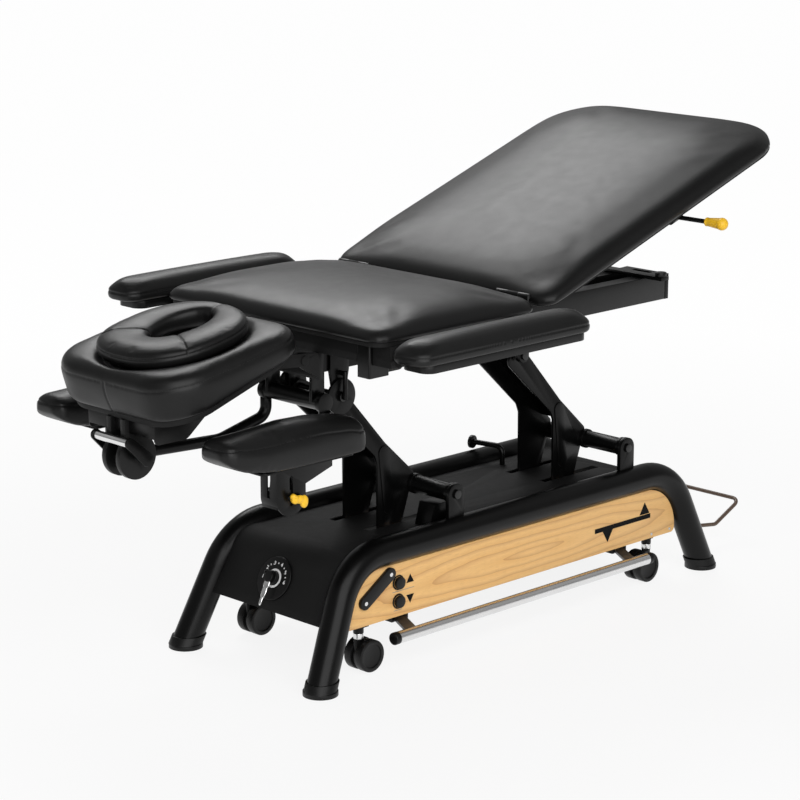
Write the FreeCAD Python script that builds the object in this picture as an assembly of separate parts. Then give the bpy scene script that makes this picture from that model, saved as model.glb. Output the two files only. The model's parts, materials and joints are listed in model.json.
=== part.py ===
import FreeCAD, Part
import math
import os

# Chiropractic table with a folding long section, a dropping head section,
# two folding side armrests and two height-adjustable lower armrests.
# Millimetres. +X to the foot end, +Y to the far side, +Z up.
# The origin is on the floor, midway between the four feet.

V = FreeCAD.Vector
X_DIR, Y_DIR, Z_DIR = V(1, 0, 0), V(0, 1, 0), V(0, 0, 1)

# Clearances and overruns used by the whole table
air = 0.3                  # between moving surfaces that only face each other
shaft_fit = 0.05           # radial, a shaft in its hole
overrun = 5.0              # how far a cutting tool passes a face

# Side frames: one bent tube on each side
tube_od = 60.3
tube_wall = 2.6
tube_axis_y = 176.0
tube_axis_z = 247.5
tube_bend = 130.0
corner_x = 498.0           # where the straight run and the leg would meet
front_foot_x = 611.0
front_foot_y = 208.0
rear_foot_x = 611.0
rear_foot_y = 190.0
cap_flange_r = 36.0
cap_flange_h = 9.0
cap_collar_h = 26.0
cap_wall = 3.0
cap_slack = 0.2

# Rails and cross members hidden under the cover
inner_rail_w = 30.0
inner_rail_h = 40.0
inner_rail_top = 226.0
inner_wall = 3.0
cross_x = 430.0
cross_w = 50.0
cross_h = 40.0
cross_top = 186.0
mid_cross_w = 34.0
mid_cross_h = 20.0
mid_cross_top = 123.0
hang_plate_t = 8.0         # plates that hang the cross members from the tubes

# Cover between the tubes
cover_top = 252.0
cover_t = 2.0
cover_front_x = 568.0
cover_front_z = 120.0
cover_front_corner_x = 501.0
cover_bend = 70.0
cover_rear_corner_x = 442.0
cover_rear_bend = 30.0
cover_rear_x = 518.0
cover_rear_z = 125.0
cover_tube_gap = 0.3
slot_w = 19.0
slot_head_reach = 138.0    # from the pivot towards the head end
slot_foot_reach = 42.0
ear_slot_gap = 3.0

# Side panels of ash wood, under the tubes
panel_t = 18.0
panel_half_l = 516.0
panel_bottom = 103.0
panel_corner = 102.0
panel_low_corner = 12.0
panel_tube_gap = 0.5

# Fittings on the side panels
link_a_x, link_a_z = -396.0, 200.0
link_b_x, link_b_z = -467.0, 154.0
link_r = 14.0
link_t = 8.0
link_screw_r = 4.5
link_screw_h = 1.2
button_x = -369.0
button_high_z = 176.0
button_low_z = 136.0
button_r = 13.0
button_h = 10.0
button_travel = 3.0
button_stem_r = 6.0
button_stem_l = 9.0
bezel_r = 16.0
bezel_h = 3.0

# Foot bars along both sides
bar_r = 12.7
bar_wall = 1.6
bar_y = 208.0
bar_z = 68.0
bar_half_l = 404.0
bar_cap_l = 8.0
strut_x = 345.0
strut_w = 30.0
strut_t = 5.0
strut_pivot_y = 150.0
strut_pivot_z = 98.0
strut_eye_r = 13.0
strut_pin_r = 6.0
strut_bracket_t = 8.0
strut_bracket_top = 150.0

# Pedal loop at the foot end, which lowers the castors
pedal_r = 4.5
pedal_pivot_x = 500.0
pedal_pivot_z = 100.0
pedal_low_x = 720.0
pedal_low_z = 55.0
pedal_rise_x = 775.0
pedal_rise_z = 47.0
pedal_end_x = 866.0
pedal_end_z = 90.0
pedal_half_w = 97.0
pedal_bend = 22.0
pedal_boss_r = 11.0
pedal_boss_l = 16.0
pedal_bearing_y = 52.0
pedal_bearing_t = 16.0
pedal_bearing_lap = 20.0
pedal_pin_r = 6.0

# Castors
front_castor_x = 462.0
rear_castor_x = 440.0
castor_y = 165.0
castor_wheel_r = 34.0
castor_wheel_w = 19.0
castor_hood_w = 10.0
castor_floor_gap = 2.5
castor_offset = 16.0       # the axle trails the stem by this much
castor_axle_r = 4.0
castor_stem_r = 6.5
castor_hood_r = 29.0
castor_dish_r = 25.0
castor_dish = 3.0
castor_plate_t = 5.0
castor_plate_z = 97.0
castor_socket_r = 11.0
castor_socket_z = 86.0
castor_stem_room = 1.0
castor_post_w = 12.0
castor_post_lap = 12.0
castor_neck_r = 10.0

# Dial and lever on the slanted front of the cover
dial_z = 179.0
dial_r = 46.0
dial_t = 6.0
dial_hub_r = 20.0
dial_hub_h = 10.0
lever_hub_r = 15.0
lever_hub_h = 8.0
lever_l = 62.0
lever_root_w = 20.0
lever_tip_w = 8.0
lever_t = 7.0
lever_pin_r = 5.0
lever_pin_l = 12.0

# Lift arms: two parallel cranked channels
pivot_front_x = -193.0
pivot_rear_x = 350.0
pivot_z = 327.0
arm_dx = -228.0            # from the lower to the upper pivot
arm_dz = 229.0
arm_plate_y = 54.0
arm_plate_t = 6.0
arm_web_t = 6.0
hub_r = 18.5
hub_collar_r = 21.5
hub_collar_w = 9.0
axle_r = 8.0
axle_head_r = 9.5
axle_head_h = 5.0
axle_tail = 5.0
ear_t = 10.0
ear_r = 23.0
ear_near_y = -180.0
ear_far_y = 105.0
stiffener_t = 3.0
upper_shaft_r = 8.0
crank_x = -85.0            # crank pin from the lower pivot
crank_z = -155.0
crank_pin_r = 8.0

# Tie bar and actuator under the cover
tie_y = 30.0
tie_t = 12.0
tie_eye_r = 14.0
crank_pin_over = 4.0
crank_bar_r = 8.0
crank_bar_x = -80.0
crank_bar_z = -122.0
actuator_y = -20.0
actuator_end_x = -88.0     # rod end from the front lower pivot
actuator_end_z = -165.0
actuator_r = 19.0
actuator_l = 218.0
actuator_rod_r = 9.0
actuator_rod_start = 168.0   # hidden end of the rod, from the foot pivot
actuator_pivot_x = 120.0
actuator_pivot_z = 140.0
actuator_eye_r = 13.0
actuator_eye_t = 12.0
actuator_pin_r = 7.0
actuator_lug_t = 12.0
actuator_motor_r = 17.0
actuator_motor_l = 80.0
actuator_motor_drop = 32.0
fork_t = 6.0
fork_gap = 1.5
fork_clear = 20.0          # from the fork's back to the lug

# Top frame under the middle section
rail_outer_y = 62.0
rail_w = 36.0
rail_h = 58.0
rail_top = 668.0
rail_wall = 3.0
rail_head_x = -500.0
rail_foot_x = 609.0
hanger_t = 8.0
hanger_r = 16.0
hanger_w = 52.0
disc_r = 38.0
disc_t = 6.0
cross_tube_x = -481.0
cross_tube_z = 555.0
cross_tube_r = 17.0
cross_tube_half_l = 92.0
cross_collar_r = 20.0
cross_collar_w = 12.0
bearer_w = 40.0
bearer_head_x = -500.0
bearer_mid_x = -330.0
bearer_foot_x = -160.0
bearer_half_l = 318.0
end_bar_t = 12.0
head_bar_reach = 104.0
rung_w = 30.0
rung_h = 16.0
stay_r = 5.0
hook_y = 40.0
hook_z = 640.0
hook_end_x = 640.0
hook_bend = 12.0
hook_r = 5.0
buffer_back = 62.0
buffer_w = 26.0
buffer_bar_t = 8.0

# Cushions shared sizes
pad_half_w = 330.0
pad_thick = 42.0
pad_crown = 13.0
pad_corner = 34.0
pad_bottom = 724.0
board_t = 12.0
board_inset = 14.0
mid_head_x = -565.0
fold_x = -88.0             # hinge line between middle and long sections
fold_z = 745.0
fold_gap = 7.0             # each cushion stops this far from the hinge line
fold_deg = 19.3            # how far the long section is raised in the photo
long_l = 852.0
long_corner = 115.0

# Fold hinge: slim knuckles in the gap between the cushions
knuckle_r = 5.5
knuckle_pin_r = 3.0
knuckle_y = 236.0
knuckle_l = 30.0
knuckle_gap = 0.4
knuckle_plate_t = 4.0

# Long section frame, lever and gas strut
long_rail_y = 100.0
long_rail_w = 30.0
long_rail_h = 26.0
long_rail_l = 600.0
long_rail_start = 60.0
long_cross_w = 30.0
lift_lever_along = 499.0   # along the section from the hinge line
lift_lever_y = -250.0
lift_lever_r = 5.0
lift_lever_drop = 33.0
lift_lever_rod_l = 90.0
lift_grip_l = 44.0
lift_grip_r = 7.5
lift_grip_end_r = 12.5
lift_boss_r = 12.0
lift_boss_l = 24.0
long_plate_t = 5.0
gas_r = 11.0
gas_l = 150.0
gas_rod_r = 5.0
gas_rod_start = 65.0
gas_foot_x = -60.0
gas_foot_z = 640.0
gas_eye_r = 9.0
gas_pin_r = 5.0
gas_lug_t = 8.0
gas_head_x = 145.0         # where the rod meets the section, when level
gas_head_drop = 24.0
gas_eye_t = 8.0
gas_fork_t = 3.0

# Head section
head_hinge_x = -557.0
head_hinge_z = 658.0
head_hinge_y = 100.0
head_drop_deg = 18.2
head_front_x = -955.0      # before the section is dropped
head_rear_x = -590.0
head_half_w = 196.0
head_corner = 88.0
head_front_t = 96.0
head_rear_t = 48.0
head_rail_y = 84.0
head_rail_w = 24.0
head_rail_h = 28.0
head_lug_r = 14.0
head_lug_t = 8.0
head_pin_r = 6.0
face_hole_x = -742.0       # the hole lies nearer the rear of the ring
face_hole_l = 158.0
face_hole_w = 100.0
moat_l = 304.0
moat_w = 298.0
ring_x = -766.0
moat_depth = 16.0
ring_l = 286.0
ring_w = 280.0
ring_t = 44.0
ring_crown = 12.0
ring_gap = 8.0
head_crown = 8.0
head_lug_l = 60.0
head_pin_head = 4.0
head_pin_cap_r = 10.0
fixed_lug_share = 0.42
dropped_pan_front_x = -930.0
pan_mid_x = -850.0
dropped_pan_rear_x = -795.0
pan_rear_top_x = -780.0
pan_z = 549.0
pan_rise_z = 593.0
pan_corner = 12.0
pan_half_w = 100.0
pan_t = 3.0
lock_disc_r = 45.0
lock_disc_y = -18.0
lock_x0 = -910.0
lock_z0 = 511.0
lock_disc_t = 12.0
lock_disc_gap = 42.0
neck_share = 0.7
handle_pin_r = 5.0
handle_arm_t = 6.0
handle_arm_r = 14.0
handle_tip_r = 11.0
grip_x = -951.0
grip_z = 549.0
grip_r = 9.0
grip_half_l = 49.0

# Side armrests of the middle section
arm_pad_in_y = 379.0
arm_pad_w = 100.0
arm_pad_head_x = -581.0
arm_pad_foot_x = -98.0
arm_pad_bottom = 704.0
arm_pad_thick = 40.0
arm_pad_corner = 36.0
arm_pad_crown = 10.0
arm_board_t = 16.0
arm_board_inset = 14.0
arm_hinge_y = 336.0
arm_hinge_z = 684.0
arm_hinge_pin_r = 5.0
arm_hinge_eye_r = 10.0
arm_hinge_l = 40.0
arm_leaf_t = 4.0
arm_leaf_l = 82.0
arm_board_in = 8.0
arm_board_corner = 24.0
lock_x = -502.0
lock_y = 250.0
lock_l = 54.0
lock_w = 36.0
lock_corner = 4.0
lock_low = 641.0
lock_knob_rise = 16.0
lock_stem_r = 5.0
latch_head_r = 14.0
latch_head_l = 42.0
latch_travel = 8.0

# Lower armrests
low_pad_y = 252.0
low_pad_half_w = 52.0
low_pad_head_x = -922.0
low_pad_foot_x = -556.0
low_pad_tall = 86.0
low_pad_rise = 44.0
tray_head_inset = 96.0
tray_foot_inset = 30.0
low_tray_t = 4.0
low_post_x = -728.0
low_channel_y = 236.0
channel_top = 506.0
channel_low = 405.0
low_channel_w = 46.0
low_channel_t = 3.0
low_channel_l = 75.0
face_slot_w = 9.0
wing_l = 70.0
wing_drop = 44.0
guide_low = 422.0
guide_h = 34.0
carrier_y = 88.0
carrier_z = 500.0
carrier_elbow_x = -607.0
carrier_elbow_z = 470.0
carrier_bend = 26.0
low_slide_down = 40.0
low_slide_up = 10.0
low_bar_r = 12.0
knob_r = 12.0
knob_tip_r = 9.0
knob_l = 26.0
knob_rise = -8.0
knob_t = 14.0
knob_off = 4.0
knob_stem_l = 22.0
knob_stem_r = 4.0
peg_x = 255.0
peg_z = 294.0
peg_end_x = 237.0
peg_end_y = 192.0
peg_post_r = 6.0
peg_bend = 18.0
peg_cap_r = 15.0
peg_cap_t = 8.0
gusset_l = 70.0
gusset_w = 44.0
gusset_y = 92.0
gusset_top = 300.0
gusset_lean = 14.0

# Shares: shapes that follow the sizes above
half = 0.5
tiny = 0.01
half_room = 300.0          # half width of a cutting block
quarter = 90.0
corner_share = 0.45
corner_most_share = 0.96
side_round_share = 0.45
corner_follow_share = 0.25
side_shares = [(0.30, 0), (0.10, 0.05), (0.02, 0.16), (0, 0.34), (0.03, 0.54),
               (0.12, 0.70), (0.27, 0.84), (0.48, 0.935), (0.72, 0.985), (1, 1)]
crown_shares = [(0.06, 0.2), (0.14, 0.4), (0.26, 0.62), (0.42, 0.82), (0.62, 0.94),
                (0.85, 1)]
arm_corner = 20.0
arm_outline_shares = [(1.123, 0.917), (1.035, 1.092), (0.899, 1.031), (0.373, 0.45),
                      (0, 0.109), (0.066, -0.079), (0.289, -0.742), (0.456, -0.742),
                      (0.465, 0.262), (0.5, 0.349)]
arm_corner_shares = [0.85, 0.85, 0.85, 0, 0.4, 0, 0.6, 0.6, 0, 0.75]
arm_back_shares = [(0.80, 0.905), (0.39, 0.455), (0.13, 0.205)]
stiffener_top_shares = [(0.39, 0.36)]
stiffener_low_shares = [(0.33, -0.16)]
stiffener_r = 15.0
fork_share = 0.8
low_corner_share = 0.42
low_bottom_share = 0.4
low_pad_shares = [(0, 0.98, 0.18, 0.5), (0.012, 0.86, 0.36, 0.74), (0.05, 0.62, 0.58, 0.92),
                  (0.14, 0.3, 0.76, 1), (0.3, 0.05, 0.92, 1), (0.48, 0, 1, 1),
                  (0.68, 0, 0.97, 1), (0.86, 0, 0.86, 0.98), (0.95, 0, 0.78, 0.93),
                  (0.985, 0.04, 0.68, 0.84), (1, 0.12, 0.48, 0.7)]

os.makedirs("parts", exist_ok=True)
nodes = {}


def save(name, solids):
    """Add separate solids to a node."""
    if not isinstance(solids, (list, tuple)):
        solids = [solids]
    for item in solids:
        nodes.setdefault(name, []).extend(item.Solids)


def box(x0, x1, y0, y1, z0, z1):
    return Part.makeBox(x1 - x0, y1 - y0, z1 - z0, V(x0, y0, z0))


def both(shape):
    """The shape and its mirror image on the other side of the table."""
    return [shape, shape.mirror(V(0, 0, 0), Y_DIR)]


def far_side(shape):
    return shape.mirror(V(0, 0, 0), Y_DIR)


def fuse(first, *others):
    shape = first.fuse(list(others)) if others else first
    return shape.removeSplitter()


def rod(radius, start, end):
    run = end - start
    return Part.makeCylinder(radius, run.Length, start, run)


def rod_y(radius, x, z, y0, y1):
    return rod(radius, V(x, y0, z), V(x, y1, z))


def rod_x(radius, y, z, x0, x1):
    return rod(radius, V(x0, y, z), V(x1, y, z))


def rod_z(radius, x, y, z0, z1):
    return rod(radius, V(x, y, z0), V(x, y, z1))


def path(points, radius):
    """A wire of straight runs joined by tangent arcs of one radius."""
    edges = []
    start = points[0]
    for before, corner, after in zip(points, points[1:], points[2:]):
        u = (before - corner).normalize()
        w = (after - corner).normalize()
        half = u.getAngle(w) / 2
        setback = radius / math.tan(half)
        a = corner + u * setback
        b = corner + w * setback
        centre = corner + (u + w).normalize() * (radius / math.sin(half))
        middle = centre - (u + w).normalize() * radius
        edges.append(Part.LineSegment(start, a).toShape())
        edges.append(Part.Arc(a, middle, b).toShape())
        start = b
    edges.append(Part.LineSegment(start, points[-1]).toShape())
    return Part.Wire(edges)


def sweep(wire, radius):
    """A solid round bar along a path."""
    first = wire.Edges[0]
    start = first.Vertexes[0].Point
    ring = Part.Circle(start, first.tangentAt(first.FirstParameter), radius).toShape()
    return wire.makePipeShell([Part.Wire(ring)], True, True)


def outline(points, corner_radii):
    """A closed wire through XZ points with each corner rounded by its radius."""
    count = len(points)
    starts, edges, arcs = [], [], []
    for i in range(count):
        corner = V(points[i][0], 0, points[i][1])
        radius = corner_radii[i]
        if radius == 0:
            arcs.append(None)
            starts.append((corner, corner))
            continue
        before = V(points[i - 1][0], 0, points[i - 1][1])
        after = V(points[(i + 1) % count][0], 0, points[(i + 1) % count][1])
        u = (before - corner).normalize()
        w = (after - corner).normalize()
        half = u.getAngle(w) / 2
        a = corner + u * (radius / math.tan(half))
        b = corner + w * (radius / math.tan(half))
        inward = (u + w).normalize()
        middle = corner + inward * (radius / math.sin(half) - radius)
        arcs.append(Part.Arc(a, middle, b).toShape())
        starts.append((a, b))
    for i in range(count):
        if arcs[i] is not None:
            edges.append(arcs[i])
        leave = starts[i][1]
        reach = starts[(i + 1) % count][0]
        if (reach - leave).Length > tiny:
            edges.append(Part.LineSegment(leave, reach).toShape())
    return Part.Wire(edges)


def plate(points, corner_radii, y0, y1):
    """A flat plate of the XZ outline between two Y places."""
    if not isinstance(corner_radii, (list, tuple)):
        corner_radii = [corner_radii] * len(points)
    face = Part.Face(outline(points, corner_radii))
    face.translate(V(0, y0, 0))
    return face.extrude(V(0, y1 - y0, 0))


def link(a, b, radius_a, radius_b, y0, y1):
    """A flat bar round two XZ centres, with its own radius at each."""
    ax, az = a
    bx, bz = b
    run = math.hypot(bx - ax, bz - az)
    along = math.atan2(bz - az, bx - ax)
    lean = math.acos((radius_a - radius_b) / run)
    points = []
    for sign, (cx, cz), r in ((1, a, radius_a), (1, b, radius_b),
                              (-1, b, radius_b), (-1, a, radius_a)):
        angle = along + sign * lean
        points.append((cx + r * math.cos(angle), cz + r * math.sin(angle)))
    body = plate(points, 0, y0, y1)
    return fuse(body, rod_y(radius_a, ax, az, y0, y1), rod_y(radius_b, bx, bz, y0, y1))


def rounded(x0, x1, y0, y1, radii, z):
    """A level rounded rectangle; radii at (x0 y0), (x1 y0), (x1 y1), (x0 y1)."""
    corners = [(x0, y0, 1, 1), (x1, y0, -1, 1), (x1, y1, -1, -1), (x0, y1, 1, -1)]
    ends, arcs = [], []
    for i, (x, y, sx, sy) in enumerate(corners):
        r = radii[i]
        on_x = V(x + sx * r, y, z)
        on_y = V(x, y + sy * r, z)
        slack = r * (1 - math.sqrt(0.5))
        middle = V(x + sx * slack, y + sy * slack, z)
        a, b = (on_y, on_x) if i % 2 == 0 else (on_x, on_y)
        arcs.append(Part.Arc(a, middle, b).toShape())
        ends.append((a, b))
    edges = []
    for i in range(len(corners)):
        edges.append(arcs[i])
        reach = ends[(i + 1) % len(corners)][0]
        edges.append(Part.LineSegment(ends[i][1], reach).toShape())
    return Part.Wire(edges)


def slab(x0, x1, y0, y1, radii, z0, z1):
    """A board with rounded corners in plan."""
    return Part.Face(rounded(x0, x1, y0, y1, radii, z0)).extrude(V(0, 0, z1 - z0))


def cushion(x0, x1, y0, y1, radii, z0, thick, crown, lean_share=0, pivot_x=0):
    """A pad with drawn-in sides, rounded top edges and a crown.
    lean_share tilts each layer about pivot_x, for a wedge."""
    side = thick * side_round_share
    half = min(x1 - x0, y1 - y0) / 2
    layers = []
    for inward_share, rise_share in side_shares:
        layers.append((side * inward_share, thick * rise_share))
    for inward_share, crown_share in crown_shares:
        inward = side + (half - side) * inward_share
        layers.append((inward, thick + crown * crown_share))
    wires = []
    for inward, rise in layers:
        most = (half - inward) * corner_most_share
        r = [min(max(one - inward * corner_follow_share, side), most) for one in radii]
        wire = rounded(x0 + inward, x1 - inward, y0 + inward, y1 - inward, r, z0)
        if lean_share:
            share = rise / thick
            wire.rotate(V(pivot_x, 0, z0), Y_DIR, lean_share * share)
        else:
            wire.translate(V(0, 0, rise))
        wires.append(wire)
    return Part.makeLoft(wires, True, True)


def turned(shape, x, z, degrees):
    """The shape turned about a Y line; positive turns +Z towards +X."""
    copy = shape.copy()
    copy.rotate(V(x, 0, z), Y_DIR, degrees)
    return copy


def turned_point(px, pz, x, z, degrees):
    spot = V(px - x, 0, pz - z)
    spot = FreeCAD.Rotation(Y_DIR, degrees).multVec(spot)
    return x + spot.x, z + spot.z


# Base: tubes, feet, cross members, cover
bend_x = corner_x - tube_bend * math.tan(
    math.atan2(tube_axis_z, rear_foot_x - corner_x) / 2)
near_path = path([
    V(-front_foot_x, -front_foot_y, 0), V(-corner_x, -tube_axis_y, tube_axis_z),
    V(corner_x, -tube_axis_y, tube_axis_z), V(rear_foot_x, -rear_foot_y, 0)], tube_bend)
tube_r = tube_od / 2
near_solid = sweep(near_path, tube_r)
near_bore = sweep(near_path, tube_r - tube_wall)
near_keep_out = sweep(near_path, tube_r + cover_tube_gap)
ground_x = front_foot_x + cap_flange_r * 2
ground_y = front_foot_y + cap_flange_r * 2
foot_room = box(-ground_x, ground_x, -ground_y, ground_y, -tube_od, cap_flange_h)
near_tube = near_solid.cut(near_bore).cut(foot_room)
near_solid = near_solid.cut(foot_room)
save("side_frames", both(near_tube))
tube_top = tube_axis_z + tube_r
tube_bottom = tube_axis_z - tube_r

caps = []
for foot_x, foot_y, sign in ((front_foot_x, front_foot_y, -1), (rear_foot_x, rear_foot_y, 1)):
    foot = V(sign * foot_x, -foot_y, 0)
    corner = V(sign * corner_x, -tube_axis_y, tube_axis_z)
    lean = (corner - foot) * (1 / tube_axis_z)
    low = foot - lean * overrun
    high = foot + lean * (cap_collar_h + tube_r)
    collar = rod(tube_r + cap_slack + cap_wall, low, high)
    middle = foot + lean * cap_flange_h
    flange = rod_z(cap_flange_r, middle.x, middle.y, 0, cap_flange_h)
    below = foot + lean * cap_flange_h
    room = rod(tube_r + cap_slack, below - lean * tube_r, high + lean * overrun)
    room = room.cut(foot_room)
    level = box(-ground_x, ground_x, -ground_y, ground_y, 0, cap_collar_h)
    caps.append(fuse(flange, collar.cut(room).common(level)))
save("foot_caps", caps + [far_side(cap) for cap in caps])

panel_in_y = tube_axis_y - panel_t / 2
panel_out_y = tube_axis_y + panel_t / 2
hang_in_y = panel_in_y - hang_plate_t
for beam_x, top, bottom, wide in (
        (-cross_x, cross_top, cross_top - cross_h, cross_w),
        (cross_x, cross_top, cross_top - cross_h, cross_w),
        (actuator_pivot_x, mid_cross_top, mid_cross_top - mid_cross_h, mid_cross_w)):
    beam = box(beam_x - wide / 2, beam_x + wide / 2, -hang_in_y, hang_in_y, bottom, top)
    hang = box(beam_x - wide / 2, beam_x + wide / 2, -panel_in_y, -hang_in_y,
               bottom, tube_axis_z)
    hang = hang.cut(near_solid)
    hang = [s for s in hang.Solids if s.BoundBox.ZMin < top][0]
    save("base_beams", [beam] + both(hang))

# Castor posts on the two outer beams
beam_end = cross_x + cross_w / 2
beam_low = cross_top - cross_h
for sign, castor_x in ((-1, front_castor_x), (1, rear_castor_x)):
    x = sign * castor_x
    post_in = sign * min(beam_end - castor_post_lap, castor_x - castor_socket_r)
    post_out = sign * (castor_x + castor_socket_r)
    low_x, high_x = min(post_in, post_out), max(post_in, post_out)
    post = box(low_x, high_x, -hang_in_y, -castor_y + castor_socket_r + castor_post_w,
               castor_plate_z, beam_low)
    base_plate = box(low_x, high_x, -castor_y - castor_socket_r,
                     -castor_y + castor_socket_r + castor_post_w,
                     castor_plate_z, castor_plate_z + castor_plate_t)
    socket = rod_z(castor_socket_r, x, -castor_y, castor_socket_z,
                   castor_plate_z + castor_plate_t)
    hole = rod_z(castor_stem_r + shaft_fit, x, -castor_y, castor_socket_z - overrun,
                 castor_plate_z + castor_plate_t + castor_stem_room)
    save("base_beams", both(fuse(post, base_plate, socket).cut(hole)))

# Pedal bearings hang from the rear beam
bearing = plate([
    (beam_end, beam_low + pedal_bearing_lap),
    (pedal_pivot_x + pedal_boss_r * math.sqrt(0.5), pedal_pivot_z + pedal_boss_r * math.sqrt(0.5)),
    (pedal_pivot_x - pedal_boss_r * math.sqrt(0.5), pedal_pivot_z - pedal_boss_r * math.sqrt(0.5)),
    (beam_end, beam_low)], 0,
    -pedal_bearing_y - pedal_bearing_t, -pedal_bearing_y)
bearing = fuse(bearing, rod_y(pedal_boss_r, pedal_pivot_x, pedal_pivot_z,
                              -pedal_bearing_y - pedal_bearing_t, -pedal_bearing_y))
bearing = bearing.cut(rod_y(pedal_pin_r + shaft_fit, pedal_pivot_x, pedal_pivot_z,
                            -pedal_bearing_y - pedal_bearing_t - overrun,
                            -pedal_bearing_y + overrun))
save("base_beams", both(bearing))

# Lug for the foot of the actuator
foot_lug = plate([
    (actuator_pivot_x - actuator_eye_r, mid_cross_top),
    (actuator_pivot_x + actuator_eye_r, mid_cross_top),
    (actuator_pivot_x + actuator_eye_r, actuator_pivot_z),
    (actuator_pivot_x - actuator_eye_r, actuator_pivot_z)], 0,
    actuator_y + actuator_eye_t / 2 + air,
    actuator_y + actuator_eye_t / 2 + air + actuator_lug_t)
foot_lug = fuse(foot_lug, rod_y(
    actuator_eye_r, actuator_pivot_x, actuator_pivot_z,
    actuator_y + actuator_eye_t / 2 + air,
    actuator_y + actuator_eye_t / 2 + air + actuator_lug_t))
other_lug = foot_lug.mirror(V(0, actuator_y, 0), Y_DIR)
pin_room = rod_y(actuator_pin_r + shaft_fit, actuator_pivot_x, actuator_pivot_z,
                 -hang_in_y, hang_in_y)
save("base_beams", [foot_lug.cut(pin_room), other_lug.cut(pin_room)])

rail_in = ear_far_y + ear_t / 2 - inner_rail_w / 2
rail_out = rail_in + inner_rail_w
inner = box(-cross_x - cross_w / 2, cross_x + cross_w / 2, rail_in, rail_out,
            cross_top, inner_rail_top)
hollow = box(-cross_x - cross_w / 2 + inner_wall, cross_x + cross_w / 2 - inner_wall,
             rail_in + inner_wall, rail_out - inner_wall,
             cross_top + inner_wall, inner_rail_top - inner_wall)
save("base_beams", inner.cut(hollow))

ears = []
far_ears = []
for pivot_x in (pivot_front_x, pivot_rear_x):
    near_ear = box(pivot_x - ear_r, pivot_x + ear_r, ear_near_y, ear_near_y + ear_t,
                   tube_axis_z, pivot_z)
    near_ear = near_ear.cut(near_solid)
    near_ear = [s for s in near_ear.Solids if s.BoundBox.ZMax > tube_top][0]
    near_ear = fuse(near_ear, rod_y(ear_r, pivot_x, pivot_z, ear_near_y, ear_near_y + ear_t))
    far_ear = box(pivot_x - ear_r, pivot_x + ear_r, ear_far_y, ear_far_y + ear_t,
                  inner_rail_top, pivot_z)
    far_ear = fuse(far_ear, rod_y(ear_r, pivot_x, pivot_z, ear_far_y, ear_far_y + ear_t))
    hole = rod_y(axle_r + shaft_fit, pivot_x, pivot_z, ear_near_y - overrun,
                 ear_far_y + ear_t + overrun)
    ears.append(near_ear.cut(hole))
    far_ears.append(far_ear.cut(hole))
save("base_brackets", ears + far_ears)

for pivot_x in (pivot_front_x, pivot_rear_x):
    shaft = rod_y(axle_r, pivot_x, pivot_z, ear_near_y - axle_head_h,
                  ear_far_y + ear_t + axle_tail)
    head = rod_y(axle_head_r, pivot_x, pivot_z, ear_near_y - axle_head_h, ear_near_y)
    nut = rod_y(axle_head_r, pivot_x, pivot_z, ear_far_y + ear_t,
                ear_far_y + ear_t + axle_tail)
    save("base_fixings", fuse(shaft, head, nut))

# Cover sheet between the tubes
outer_points = [
    (-cover_front_x, cover_front_z), (-cover_front_corner_x, cover_top),
    (cover_rear_corner_x, cover_top), (cover_rear_x, cover_rear_z)]
front_angle = math.atan2(cover_top - cover_front_z, cover_front_x - cover_front_corner_x)
rear_angle = math.atan2(cover_top - cover_rear_z, cover_rear_x - cover_rear_corner_x)
front_in_x = -cover_front_x + cover_t / math.sin(front_angle)
rear_in_x = cover_rear_x - cover_t / math.sin(rear_angle)
front_in_corner = -cover_front_corner_x + cover_t * math.tan(front_angle / 2)
rear_in_corner = cover_rear_corner_x - cover_t * math.tan(rear_angle / 2)
cover = plate(
    outer_points + [
        (rear_in_x, cover_rear_z), (rear_in_corner, cover_top - cover_t),
        (front_in_corner, cover_top - cover_t), (front_in_x, cover_front_z)],
    [0, cover_bend, cover_rear_bend, 0,
     0, cover_rear_bend - cover_t, cover_bend - cover_t, 0],
    -panel_in_y + panel_tube_gap, panel_in_y - panel_tube_gap)
cover = cover.cut(near_keep_out).cut(far_side(near_keep_out))
slot_y = arm_plate_y - arm_plate_t / 2
for pivot_x in (pivot_front_x, pivot_rear_x):
    for side in (-1, 1):
        cover = cover.cut(box(
            pivot_x - slot_head_reach, pivot_x + slot_foot_reach,
            side * slot_y - slot_w / 2, side * slot_y + slot_w / 2,
            cover_top - cover_t - overrun, cover_top + overrun))
    cover = cover.cut(box(
        pivot_x - ear_r - ear_slot_gap, pivot_x + ear_r + ear_slot_gap,
        ear_far_y - ear_slot_gap, ear_far_y + ear_t + ear_slot_gap,
        cover_top - cover_t - overrun, cover_top + overrun))
cover = cover.cut(rod_z(peg_post_r + cover_tube_gap, peg_x, rail_in + inner_rail_w / 2,
                        cover_top - cover_t - overrun, cover_top + overrun))
cover = max(cover.Solids, key=lambda s: s.Volume)
save("base_cover", cover)

# Peg with a flanged cap on the far side
peg_y = rail_in + inner_rail_w / 2
peg_path = path([
    V(peg_x, peg_y, inner_rail_top), V(peg_x, peg_y, peg_z),
    V(peg_end_x, peg_end_y, peg_z)], peg_bend)
peg_run = V(peg_end_x - peg_x, peg_end_y - peg_y, 0).normalize()
peg_tip = V(peg_end_x, peg_end_y, peg_z)
save("base_brackets", fuse(
    sweep(peg_path, peg_post_r),
    rod(peg_cap_r, peg_tip - peg_run * peg_cap_t, peg_tip)))

# Gusset beside the front near ear
gusset = plate([
    (pivot_front_x - gusset_l / 2, cover_top), (pivot_front_x + gusset_l / 2, cover_top),
    (pivot_front_x + gusset_l / 2 - gusset_lean, gusset_top),
    (pivot_front_x - gusset_l / 2 + gusset_lean, gusset_top)], 0,
    -gusset_y - gusset_w, -gusset_y)
save("base_brackets", gusset)

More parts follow.
